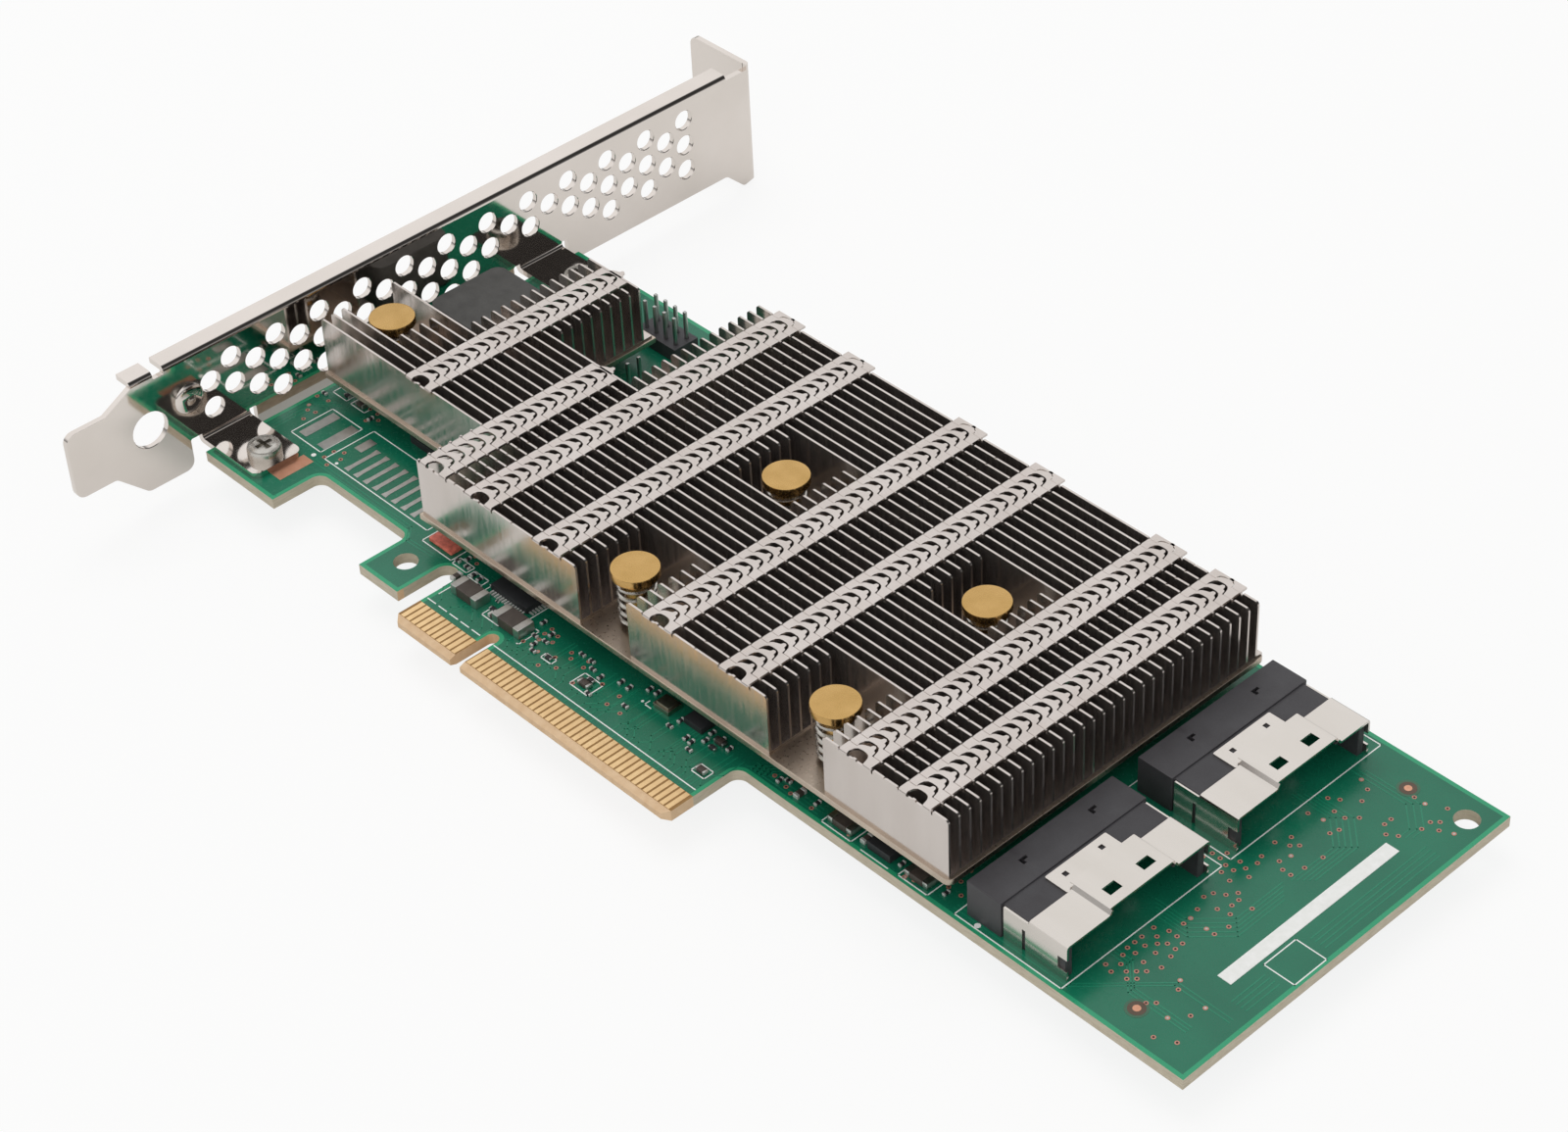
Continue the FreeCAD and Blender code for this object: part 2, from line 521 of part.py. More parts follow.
def makePins():
    pins, springs = [], []
    capUnder = "finTop - pinCapRise"
    noseEnd = boardUnder + " - pinBarbLength - pinNoseLength"
    for place, (x, y) in enumerate(pinSpots):
        label = str(place)
        pieces = [
            prism("PinCap" + label, x, y, capUnder, "finTop", "pinCapWidth", "capSides"),
            prism("PinShank" + label, x, y, boardUnder, capUnder, "pinWidth", "shankSides"),
            prism("PinBarb" + label, x, y, boardUnder + " - pinBarbLength", boardUnder, "pinBarbWidth", "shankSides"),
            prism("PinNose" + label, x, y, noseEnd, boardUnder + " - pinBarbLength", "pinNoseWidth", "shankSides")]
        blank = fuse("PinBlank" + label, pieces)
        split = slab("PinSplit" + label, x, y, "pinSplit", "pinBarbWidth", noseEnd, boardUnder + " - pinSplitRoot")
        pins.append(cut("Pin" + label, blank, [split]))
        outer = prism("SpringOuter" + label, x, y, baseTop, capUnder, "springWidth", "springSides")
        inner = prism("SpringInner" + label, x, y, baseTop, capUnder, "springWidth - 2 * springWire",
                      "springSides")
        springs.append(cut("Spring" + label, outer, [inner]))
    node(group("SpringPins", pins), "spring_pins")
    node(group("PinSprings", springs), "pin_springs")


# chips that the heat sink cools

memorySpots = [("0 - 2", "50"), ("0 - 2", "37.5"), ("13.5", "56.5"), ("26.5", "56.5"), ("39.5", "56.5")]


def makeCooledChips():
    substrate = slab("ChipSubstrate", "chipAtX", "chipAtY", "chipSide", "chipSide", "0", "chipRise")
    lid = slab("ChipLid", "chipAtX", "chipAtY", "lidSide", "lidSide", "chipRise", "chipRise + lidRise")
    node(group("ControllerChip", [substrate, lid]), "controller_chip")
    pads = [slab("PadController", "chipAtX", "chipAtY", "lidSide - 2 * lidPadInset",
                 "lidSide - 2 * lidPadInset",
                 "chipRise + lidRise", "baseUnder")]
    chips = []
    for place, (x, y) in enumerate(memorySpots):
        chips.append(slab("Memory%d" % place, x, y, "memoryWide", "memoryLong", "0", "memoryRise"))
        pads.append(slab("PadMemory%d" % place, x, y, "memoryWide - 2 * chipPadInset",
                         "memoryLong - 2 * chipPadInset", "memoryRise", "baseUnder"))
    node(group("MemoryChips", chips), "memory_chips")
    pads.append(slab("PadBridge", "bridgeX", "bridgeY", "bridgeSide - 2 * chipPadInset",
                     "bridgeSide - 2 * chipPadInset", "memoryRise", "baseUnder"))
    node(group("ThermalPads", pads), "thermal_pads")


# cable ports

portStart = "(%s - portInset)" % boardRight
rearEnd = "(%s + portRearLong)" % portStart
portTip = "(%s + portLong)" % portStart
wingStart = "(%s - wingLong)" % portTip
plateStart = "(%s - plateLong)" % portTip
strapStart = "(%s - strapLong)" % portTip
sideStart = "(%s - sideLong)" % portTip
roofTop = "(portHigh - portStep)"
shellWide = "(portWidth - 2 * shellInset)"


def makePort(place):
    label = str(place + 1)
    middle = "(portY + %d * portPitch)" % place

    def across(width, shift="0"):
        return ("%s + %s - (%s) / 2" % (middle, shift, width), "%s + %s + (%s) / 2" % (middle, shift, width))

    inner = "(%s - 2 * shellSheet)" % shellWide
    hollow = "(%s - 2 * portSide)" % inner
    latchWide = "(plateWidth - 2 * shellSheet)"
    # moulded housing: a tall rear block with the contact mouth, and a tray in front of it
    rear = block("HousingRear" + label, (portStart, rearEnd), across("portWidth"), ("0", "portHigh"))
    tray = block("HousingTray" + label, (rearEnd, portTip + " - trayInset"), across(inner), ("0", roofTop))
    cavity = block("HousingCavity" + label, (rearEnd, portTip), across(hollow),
                   ("portFloor", roofTop + " - portRoof"))
    latchWell = block("HousingLatchWell" + label, (plateStart, portTip), across(latchWide, "plateShift"),
                      (roofTop + " - portRoof", roofTop))
    mouth = block("HousingMouth" + label, (rearEnd + " - mouthDepth", rearEnd), across("mouthWidth"),
                  ("mouthLow", "mouthHigh"))
    housing = cut("Housing" + label, fuse("HousingBlank" + label, [rear, tray]),
                  [fuse("HousingHollow" + label, [cavity, latchWell, mouth])])
    node(housing, "cable_port_%s_housing" % label)
    slotStart = "(%s - sideSlotIn)" % portTip
    windowStart = "(%s - plateWindowIn)" % portTip
    holeStart = "(%s + strapHoleIn)" % strapStart
    # folded shell: two sides, two wings, a raised latch plate and a strap behind it
    sides, tools = [], []
    for sideName, sign in (("Left", "0 - 1"), ("Right", "1")):
        edge = "%s + (%s) * (%s / 2 - shellSheet / 2)" % (middle, sign, shellWide)
        sideRange = (edge + " - shellSheet / 2", edge + " + shellSheet / 2")
        sides.append(block("ShellSide%s%s" % (sideName, label), (sideStart, portTip), sideRange,
                           ("0", "sideHigh")))
        sides.append(block("ShellRise%s%s" % (sideName, label), (wingStart, portTip), sideRange,
                           ("sideHigh", "portHigh")))
        tools.append(block("ShellSlot%s%s" % (sideName, label), (slotStart, slotStart + " + sideSlot"),
                           sideRange, ("0", "sideHigh - sideSlotDrop")))
        tools.append(block("ShellFork%s%s" % (sideName, label), (portTip + " - sideFork", portTip),
                           sideRange, ("forkLow", "forkHigh")))
    outer = across(shellWide)
    latch = across("plateWidth", "plateShift")
    wings = [block("ShellWingLeft" + label, (wingStart, portTip), (outer[0], latch[0] + " + shellSheet"),
                   (roofTop, "portHigh")),
             block("ShellWingRight" + label, (wingStart, portTip), (latch[1] + " - shellSheet", outer[1]),
                   (roofTop, "portHigh"))]
    for sideName, low, high in (("Left", latch[0], latch[0] + " + shellSheet"),
                                ("Right", latch[1] + " - shellSheet", latch[1])):
        wings.append(block("ShellRiser%s%s" % (sideName, label), (wingStart, portTip + " - plateInset"),
                           (low, high), (roofTop, "portHigh + plateRise")))
    plate = block("ShellPlate" + label, (plateStart, portTip + " - plateInset"), latch,
                  ("portHigh + plateRise - shellSheet", "portHigh + plateRise"))
    strap = block("ShellStrap" + label, (strapStart, plateStart + " + shellSheet"),
                  across("strapWidth", "strapShift"), (roofTop, roofTop + " + shellSheet + strapRise"))
    link = block("ShellLink" + label, (plateStart, plateStart + " + shellSheet"),
                 across("strapWidth", "strapShift"), (roofTop, "portHigh + plateRise"))
    for sideName, sign in (("Left", "0 - 1"), ("Right", "1")):
        windowAt = "plateShift + (%s) * plateWindowApart / 2" % sign
        tools.append(block("ShellWindow%s%s" % (sideName, label),
                           (windowStart, windowStart + " + plateWindowLong"),
                           across("plateWindowWide", windowAt), (roofTop, "portHigh + plateRise")))
        holeAt = "strapShift + (%s) * strapHoleApart / 2" % sign
        tools.append(block("StrapHole%s%s" % (sideName, label),
                           (holeStart, holeStart + " + strapHole"),
                           across("strapHole", holeAt), (roofTop, roofTop + " + shellSheet + strapRise")))
    shellBlank = fuse("ShellBlank" + label, sides + wings + [plate, strap, link])
    node(cut("Shell" + label, shellBlank, tools), "cable_port_%s_shell" % label)
    makeBlades(label, middle)


def makeBlades(label, middle):
    blades = []
    depth = (rearEnd + " - mouthDepth", rearEnd)
    for place in range(int(sizes["blades"])):
        offset = "(%s + (%d - (blades - 1) / 2) * bladePitch)" % (middle, place)
        wide = (offset + " - bladeWidth / 2", offset + " + bladeWidth / 2")
        blades.append(block("BladeTop%s%d" % (label, place), depth, wide,
                            ("mouthHigh - bladeSheet", "mouthHigh")))
        blades.append(block("BladeLow%s%d" % (label, place), depth, wide,
                            ("mouthLow", "mouthLow + bladeSheet")))
    node(group("Blades" + label, blades), "cable_port_%s_contacts" % label)


# headers

def makeHeaders():
    bases, posts = [], []
    for name, spots, x, y, long, wide in (
            ("Header", headerSpots, "headerX", "headerY", "headerLong", "headerWide"),
            ("Jumper", jumperSpots, "jumperX", "jumperY", "jumperWide", "jumperLong")):
        base = slab(name + "Blank", x, y, long, wide, "0", "headerRise")
        holes = [slab("%sHole%d" % (name, place), u, v, "postSquare", "postSquare", "0", "headerRise")
                 for place, (u, v) in enumerate(spots)]
        bases.append(cut(name + "Base", base, holes))
        for place, (u, v) in enumerate(spots):
            posts.append(slab("%sPost%d" % (name, place), u, v, "postSquare", "postSquare",
                              "0 - postUnder", "postHigh"))
    node(group("HeaderBases", bases), "header_bases")
    node(group("HeaderPins", posts), "header_pins")


# parts on the open board

def makePowerInductor():
    body = newBody("CoilBody")
    outline = newSketch(body, "CoilOutline", "XY_Plane", "coilLift")
    drawRectangle(outline, ("coilX - coilSide / 2", "coilX + coilSide / 2"),
                  ("coilY - coilSide / 2", "coilY + coilSide / 2"))
    moulding = pad(body, "CoilBlock", outline, "coilRise - coilLift")
    corners = [("coilX + (%s) * coilSide / 2" % u, "coilY + (%s) * coilSide / 2" % v)
               for u in ("1", "0 - 1") for v in ("1", "0 - 1")]
    roundEdges(body, "CoilCorners", moulding, "z", corners, "coilCorner")
    ends = [slab("CoilPad%d" % place, "coilX + (%s) * (coilSide / 2 - coilPadLong / 2)" % sign, "coilY",
                 "coilPadLong", "coilPadWide", "0", "coilLift") for place, sign in enumerate(("1", "0 - 1"))]
    node(group("PowerInductor", [body] + ends), "power_inductor")


def makeQuadChip():
    body = slab("QuadBody", "quadX", "quadY", "quadSide", "quadSide", "0", "quadRise")
    node(body, "interface_chip")


# centre, length along x, width along y and height of each two-ended part on the board
chipCapacitors = [("0 - 8.2", "9.3", "5.0", "2.4", "1.5"), ("0.1", "9.45", "5.2", "2.7", "1.5"),
                  ("15.0", "8.4", "2.0", "1.0", "0.6"), ("34.8", "12.9", "1.8", "0.9", "0.6"),
                  ("36.85", "8.0", "1.7", "0.9", "0.6"), ("0 - 50.2", "24.4", "1.8", "0.9", "0.6"),
                  ("55.7", "13.7", "4.0", "2.2", "1.0"), ("68.4", "13.7", "3.8", "2.2", "1.0")]
chipResistors = [("15.0", "9.4", "1.2", "0.6", "0.4"), ("34.8", "11.6", "1.2", "0.6", "0.4"),
                 ("8.0", "8.5", "1.2", "0.6", "0.4"), ("0 - 4.1", "9.6", "1.2", "0.6", "0.4"),
                 ("0 - 53.2", "24.4", "1.2", "0.6", "0.4")]
smallChips = [("30.4", "13.5", "3.2", "2.4", "0.9"), ("62.2", "13.8", "3.8", "2.2", "1.2")]


def makeTwoEnded(name, label, parts, ends):
    bodies = []
    for place, (x, y, long, wide, rise) in enumerate(parts):
        key = "%s%d" % (name, place)
        bodies.append(slab(key, x, y, "%s * (1 - 2 * endShare)" % long, wide, "0", rise))
        for side, sign in (("Low", "0 - 1"), ("High", "1")):
            middle = "%s + (%s) * %s * (1 - endShare) / 2" % (x, sign, long)
            ends.append(slab(key + side, middle, y, "%s * endShare" % long, wide, "0", rise))
    node(group(name, bodies), label)


def makeBoardParts():
    ends = []
    makeTwoEnded("Capacitors", "chip_capacitors", chipCapacitors, ends)
    makeTwoEnded("Resistors", "chip_resistors", chipResistors, ends)
    node(group("EndCaps", ends), "chip_terminals")
    chips = [slab("SmallChip%d" % place, x, y, long, wide, "0", rise)
             for place, (x, y, long, wide, rise) in enumerate(smallChips)]
    chips.append(slab("BridgeChip", "bridgeX", "bridgeY", "bridgeSide", "bridgeSide", "0", "memoryRise"))
    node(group("SmallChips", chips), "small_chips")
    node(slab("RedPart", "redX", "redY", "redLong", "redWide", "0", "redRise"), "fuse_array")
    clock = [slab("ClockBase", "clockX", "clockY", "clockLong", "clockWide", "0", "clockRise - canRise"),
             slab("ClockLid", "clockX", "clockY", "clockLong - 2 * canWall", "clockWide - 2 * canWall",
                  "clockRise - canRise", "clockRise")]
    node(group("ClockCrystal", clock), "clock_crystal")


makeBoard()
makeContacts()
makeBracket()
makeFasteners()
makeBase()
for row in range(int(sizes["finCount"])):
    makeFin(row)
makePins()
makeCooledChips()
for place in range(2):
    makePort(place)
makeHeaders()
makePowerInductor()
makeQuadChip()
makeBoardParts()
doc.recompute()

for item in doc.Objects:
    if "Invalid" in item.State or "Error" in item.State:
        raise RuntimeError("failed object: %s %s" % (item.Label, item.State))
for item in subParts:
    if item.Shape.isNull() or not item.Shape.isValid():
        raise RuntimeError("bad shape: " + item.Label)

os.makedirs("parts", exist_ok=True)
for item in subParts:
    item.Shape.exportStep("parts/%s.step" % item.Label)
    print("%-24s %3d solids %10.3f mm3" % (item.Label, len(item.Shape.Solids), item.Shape.Volume))
print("%d sub-parts" % len(subParts))
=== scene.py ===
import math
import random
import bmesh
import bpy
from mathutils import Matrix, Vector


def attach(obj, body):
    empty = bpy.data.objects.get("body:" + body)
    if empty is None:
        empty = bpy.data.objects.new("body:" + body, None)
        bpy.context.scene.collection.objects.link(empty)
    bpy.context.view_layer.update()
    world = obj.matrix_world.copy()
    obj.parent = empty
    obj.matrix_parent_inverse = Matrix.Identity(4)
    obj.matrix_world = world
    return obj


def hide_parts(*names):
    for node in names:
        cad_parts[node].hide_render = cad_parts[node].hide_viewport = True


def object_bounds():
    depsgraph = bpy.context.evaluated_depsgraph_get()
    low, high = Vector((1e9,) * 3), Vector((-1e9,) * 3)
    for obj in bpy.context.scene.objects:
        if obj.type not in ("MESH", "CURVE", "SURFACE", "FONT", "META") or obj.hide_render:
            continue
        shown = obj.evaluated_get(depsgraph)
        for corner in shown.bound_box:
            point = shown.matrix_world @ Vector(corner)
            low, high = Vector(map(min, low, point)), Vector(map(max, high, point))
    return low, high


# A drive controller card, dressed for the studio. Lengths are in millimetres until a piece is finished.

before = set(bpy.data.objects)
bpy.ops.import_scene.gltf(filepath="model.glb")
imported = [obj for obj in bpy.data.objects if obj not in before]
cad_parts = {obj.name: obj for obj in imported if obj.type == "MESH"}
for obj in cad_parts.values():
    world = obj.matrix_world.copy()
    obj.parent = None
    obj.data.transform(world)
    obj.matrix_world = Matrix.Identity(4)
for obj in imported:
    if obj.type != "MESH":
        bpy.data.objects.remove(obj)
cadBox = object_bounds()
mm = 0.001
print("frame loaded,", len(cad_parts), "nodes")


# finishes

def linear(code):
    # an sRGB colour in hex, as linear light
    levels = [int(code[place:place + 2], 16) / 255 for place in (0, 2, 4)]
    light = [level / 12.92 if level <= 0.04045 else ((level + 0.055) / 1.055) ** 2.4 for level in levels]
    return (*light, 1)


def addNode(tree, kind, settings=None, links=None):
    # one node with its fixed values, and the sockets that feed it
    made = tree.nodes.new(kind)
    for name, value in (settings or {}).items():
        if isinstance(name, int) or name in made.inputs:
            made.inputs[name].default_value = value
        else:
            setattr(made, name, value)
    for name, source in (links or {}).items():
        tree.links.new(source, made.inputs[name])
    return made


def newTree(name):
    material = bpy.data.materials.new(name)
    material.use_nodes = True
    tree = material.node_tree
    tree.nodes.clear()
    return material, tree


def makeFinish(name, look):
    # two close tones mixed by noise, roughness that drifts with a second noise, and a fine grain as bump
    material, tree = newTree(name)
    place = addNode(tree, "ShaderNodeTexCoord").outputs["Object"]
    stretch = look.get("stretch", (1, 1, 1))
    mapping = addNode(tree, "ShaderNodeMapping", {"Scale": stretch}, {"Vector": place})
    spread = {"Vector": mapping.outputs["Vector"]}
    cloud = addNode(tree, "ShaderNodeTexNoise", {"Scale": 1 / (look["cloud"] * mm), "Detail": 4}, spread)
    grain = addNode(tree, "ShaderNodeTexNoise", {"Scale": 1 / (look["grain"] * mm), "Detail": 3}, spread)
    swing = {"From Min": 0.3, "From Max": 0.7}  # where most of the noise lies
    tone = addNode(tree, "ShaderNodeMapRange", swing, {"Value": cloud.outputs["Fac"]})
    mix = addNode(tree, "ShaderNodeMix", {"data_type": "RGBA"}, {"Factor": tone.outputs["Result"]})
    for socket, code in (("A_Color", look["tones"][0]), ("B_Color", look["tones"][1])):
        next(one for one in mix.inputs if one.identifier == socket).default_value = linear(code)
    colour = next(one for one in mix.outputs if one.identifier == "Result_Color")
    smooth, dull = look["rough"]
    rough = addNode(tree, "ShaderNodeMapRange", {**swing, "To Min": smooth, "To Max": dull},
                    {"Value": grain.outputs["Fac"]})
    bump = addNode(tree, "ShaderNodeBump", {"Strength": look["bump"], "Distance": 0.02 * mm},
                   {"Height": grain.outputs["Fac"]})
    shader = addNode(tree, "ShaderNodeBsdfPrincipled", {"Metallic": look.get("metal", 0)},
                     {"Base Color": colour, "Roughness": rough.outputs["Result"],
                      "Normal": bump.outputs["Normal"]})
    if "coat" in look:
        shader.inputs["Coat Weight"].default_value = look["coat"]
        shader.inputs["Coat Roughness"].default_value = 0.08
    addNode(tree, "ShaderNodeOutputMaterial", links={"Surface": shader.outputs["BSDF"]})
    return material


# tones, the sizes of the drift and the grain in millimetres, and how the surface takes light
looks = {
    # board
    "greenMask": dict(tones=("126A50", "167558"), cloud=9, grain=0.7, rough=(0.2, 0.3), bump=0.15),
    "maskBorder": dict(tones=("259A6C", "2E9F74"), cloud=5, grain=0.7, rough=(0.25, 0.35), bump=0.15),
    "maskOnCopper": dict(tones=("1B8060", "208766"), cloud=5, grain=0.7, rough=(0.2, 0.3), bump=0.15),
    "thinMask": dict(tones=("3A6A50", "34614A"), cloud=5, grain=0.7, rough=(0.2, 0.3), bump=0.15),
    "clearedMask": dict(tones=("5A4838", "50402F"), cloud=3, grain=0.5, rough=(0.2, 0.3), bump=0.15),
    "laminateEdge": dict(tones=("D0C6B2", "BDB29C"), cloud=1.5, grain=0.15, stretch=(1, 1, 6),
                         rough=(0.6, 0.8), bump=0.6),
    "bareLaminate": dict(tones=("A27B48", "8F6B3E"), cloud=1.5, grain=0.15, rough=(0.5, 0.7), bump=0.4),
    "viaRing": dict(tones=("C98B78", "B87C6B"), cloud=1, grain=0.2, rough=(0.3, 0.4), bump=0.2, coat=0.4),
    "whiteInk": dict(tones=("FAFAF8", "F1F2EE"), cloud=1, grain=0.15, rough=(0.5, 0.65), bump=0.3),
    "bareCopper": dict(tones=("E8B094", "DCA284"), cloud=1.2, grain=0.2, metal=1, rough=(0.35, 0.5),
                       bump=0.2),
    "contactBevel": dict(tones=("E6C7A2", "D9B68E"), cloud=1.5, grain=0.15, rough=(0.5, 0.7), bump=0.4),
    "goldPlate": dict(tones=("FAD9A6", "F0CC98"), cloud=1.5, grain=0.2, metal=1, rough=(0.3, 0.42),
                      bump=0.15),
    "tinnedPad": dict(tones=("C8C9C6", "B4B5B2"), cloud=1, grain=0.3, metal=1, rough=(0.28, 0.42), bump=0.5),
    "leadTin": dict(tones=("DADAD6", "CBCBC7"), cloud=1, grain=0.2, metal=0.4, rough=(0.35, 0.5), bump=0.3),
    # bracket and fasteners
    "brightNickel": dict(tones=("E4DCD6", "DCD4CD"), cloud=14, grain=1.2, metal=1, rough=(0.05, 0.1),
                         bump=0.03),
    "screwNickel": dict(tones=("CFCCC6", "B9B5AE"), cloud=1.5, grain=0.2, metal=1, rough=(0.22, 0.34),
                        bump=0.2),
    # heat sink
    "finSatin": dict(tones=("D6CEC9", "CBC2BC"), cloud=6, grain=0.5, stretch=(1, 1, 0.12), metal=0.95,
                     rough=(0.14, 0.26), bump=0.12),
    "sinkPlate": dict(tones=("CFC0B0", "BBAD9E"), cloud=5, grain=0.4, metal=1, rough=(0.25, 0.4), bump=0.15),
    "turnedBrass": dict(tones=("CDA76B", "BF9A5E"), cloud=2.5, grain=0.25, metal=1, rough=(0.2, 0.3),
                        bump=0.1),
    "springWire": dict(tones=("C9C6C0", "B5B1AA"), cloud=1, grain=0.2, metal=1, rough=(0.2, 0.3), bump=0.1),
    # parts
    "chipEpoxy": dict(tones=("2B2C2E", "232426"), cloud=3, grain=0.12, rough=(0.5, 0.65), bump=0.5),
    "gapPad": dict(tones=("8C949A", "7D858B"), cloud=2, grain=0.3, rough=(0.7, 0.85), bump=0.5),
    "portMoulding": dict(tones=("444346", "3C3A3D"), cloud=4, grain=0.15, rough=(0.45, 0.6), bump=0.5),
    "shellSteel": dict(tones=("DCD6D0", "D6D0C9"), cloud=5, grain=0.8, stretch=(0.15, 1, 1), metal=1,
                       rough=(0.14, 0.22), bump=0.03),
    "ferrite": dict(tones=("4F4E4C", "434240"), cloud=2, grain=0.2, rough=(0.55, 0.7), bump=0.8),
    "brownCeramic": dict(tones=("4E4640", "423A35"), cloud=1, grain=0.15, rough=(0.4, 0.55), bump=0.3),
    "redCoating": dict(tones=("FF8A76", "D06858"), cloud=0.5, grain=0.2, rough=(0.4, 0.55), bump=0.5),
    "clockLid": dict(tones=("B9B2A3", "A69F90"), cloud=1, grain=0.2, metal=1, rough=(0.3, 0.4), bump=0.2),
    # painted shade: the dark inside of the open via holes, laid on as a flat disc
    "viaHoleShade": dict(tones=("2A221E", "1E1815"), cloud=2, grain=0.3, rough=(0.7, 0.8), bump=0.2),
}
finish = {name: makeFinish(name, look) for name, look in looks.items()}
print("finishes made:", len(finish))


# shaping helpers

def roundCorners(points, radius, steps=4):
    # an outline with its corners rounded; a point may carry a radius of its own
    outline = []
    count = len(points)
    for place, point in enumerate(points):
        reach = point[2] if len(point) > 2 else radius
        here = Vector(point[:2])
        back = Vector(points[place - 1][:2]) - here
        ahead = Vector(points[(place + 1) % count][:2]) - here
        if reach <= 0:
            outline.append(tuple(here))
            continue
        opening = back.angle(ahead)
        run = reach / math.tan(opening / 2)
        centre = here + (back.normalized() + ahead.normalized()).normalized() * reach / math.sin(opening / 2)
        first = here + back.normalized() * run - centre
        last = here + ahead.normalized() * run - centre
        turn = first.angle_signed(last)
        for step in range(steps + 1):
            spot = Matrix.Rotation(-turn * step / steps, 2) @ first
            outline.append(tuple(centre + spot))
    return outline


def circle(x, y, width, steps=24):
    turns = [math.tau * step / steps for step in range(steps)]
    return [(x + width / 2 * math.cos(turn), y + width / 2 * math.sin(turn)) for turn in turns]


def rectangle(left, right, front, rear):
    return [(left, front), (right, front), (right, rear), (left, rear)]


def joinRound(bm, verts):
    # a closed loop of edges through a row of points
    return [bm.edges.new(pair) for pair in zip(verts, verts[1:] + verts[:1])]


def fillSheet(bm, outline, holes=(), place=lambda u, v: (u, v, 0)):
    # a flat sheet from an outline and its holes
    edges = []
    for loop in [outline, *holes]:
        edges += joinRound(bm, [bm.verts.new(place(u, v)) for u, v in loop])
    filled = bmesh.ops.triangle_fill(bm, use_beauty=True, edges=edges)
    return [one for one in filled["geom"] if isinstance(one, bmesh.types.BMFace)]


def thicken(bm, faces, shift):
    # a sheet drawn out along a vector, closed on both sides
    pulled = bmesh.ops.extrude_face_region(bm, geom=faces, use_keep_orig=True)
    moved = [one for one in pulled["geom"] if isinstance(one, bmesh.types.BMVert)]
    bmesh.ops.translate(bm, verts=moved, vec=shift)


def cutAcross(bm, spot, lean):
    # new edges where a plane crosses the whole mesh
    bmesh.ops.bisect_plane(bm, geom=bm.verts[:] + bm.edges[:] + bm.faces[:], dist=0.0001, plane_co=spot,
                           plane_no=lean)


def addBox(bm, low, high, mat=0):
    size = Vector(high) - Vector(low)
    middle = (Vector(high) + Vector(low)) / 2
    made = bmesh.ops.create_cube(bm, size=1, matrix=Matrix.Translation(middle) @ Matrix.Diagonal((*size, 1)))
    for face in {face for vert in made["verts"] for face in vert.link_faces}:
        face.material_index = mat


def softenEdges(bm, width, segments=2, least=30, edges=None):
    # small bevels along the edges that turn by more than the least angle
    sharp = [edge for edge in (edges or bm.edges) if edge.calc_face_angle(0) > math.radians(least)]
    bmesh.ops.bevel(bm, geom=sharp, offset=width, segments=segments, affect="EDGES", profile=0.5, material=-1,
                    clamp_overlap=True)


def addPiece(name, bm, materials, nodes=(), outward=True, flat=False, weighted=True):
    # from millimetres to metres, smooth where the angle is small, and onto the card
    if outward:
        bmesh.ops.remove_doubles(bm, verts=bm.verts, dist=0.0005)
        bmesh.ops.recalc_face_normals(bm, faces=bm.faces)
    bmesh.ops.scale(bm, vec=(mm, mm, mm), verts=bm.verts)
    for face in bm.faces:
        face.smooth = not flat
    for edge in bm.edges:
        edge.smooth = edge.calc_face_angle(4) < math.radians(32)
    mesh = bpy.data.meshes.new(name)
    bm.to_mesh(mesh)
    bm.free()
    piece = bpy.data.objects.new(name, mesh)
    bpy.context.scene.collection.objects.link(piece)
    for material in materials:
        mesh.materials.append(finish[material])
    if weighted and not flat:
        # broad faces keep their own normals beside a soft edge
        piece.modifiers.new("weighted", "WEIGHTED_NORMAL").keep_sharp = True
    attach(piece, "root")
    if nodes:
        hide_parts(*nodes)
    return piece


def copyNode(node):
    # a merged copy of a CAD node, in millimetres
    bm = bmesh.new()
    bm.from_mesh(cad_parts[node].data)
    bmesh.ops.scale(bm, vec=(1000, 1000, 1000), verts=bm.verts)
    bmesh.ops.remove_doubles(bm, verts=bm.verts, dist=0.001)
    bmesh.ops.dissolve_limit(bm, angle_limit=math.radians(1), verts=bm.verts, edges=bm.edges)
    return bm


# the finish of each CAD node; the fin rows share one

nodeFinish = {
    "board": "greenMask", "edge_contacts": "goldPlate", "bracket": "brightNickel",
    "bracket_screws": "screwNickel", "bracket_nuts": "screwNickel", "heatsink_base": "sinkPlate",
    "spring_pins": "turnedBrass", "pin_springs": "springWire", "controller_chip": "chipEpoxy",
    "memory_chips": "chipEpoxy", "thermal_pads": "gapPad", "header_bases": "portMoulding",
    "header_pins": "tinnedPad", "power_inductor": "ferrite", "interface_chip": "chipEpoxy",
    "chip_capacitors": "brownCeramic", "chip_resistors": "chipEpoxy", "chip_terminals": "tinnedPad",
    "small_chips": "chipEpoxy", "fuse_array": "redCoating", "clock_crystal": "clockLid",
}
for label in (1, 2):
    for part, look in (("housing", "portMoulding"), ("shell", "shellSteel"), ("contacts", "goldPlate")):
        nodeFinish["cable_port_%d_%s" % (label, part)] = look
for node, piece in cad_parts.items():
    piece.data.materials.clear()
    piece.data.materials.append(finish[nodeFinish.get(node, "finSatin")])
print("nodes given their finish")


def dressNode(node, width):
    # the node's own shape with softened edges
    bm = copyNode(node)
    softenEdges(bm, width)
    return addPiece(node + "_soft", bm, [nodeFinish[node]], [node], outward=False)


# board: routed laminate, masked on both faces, bare where the contacts are

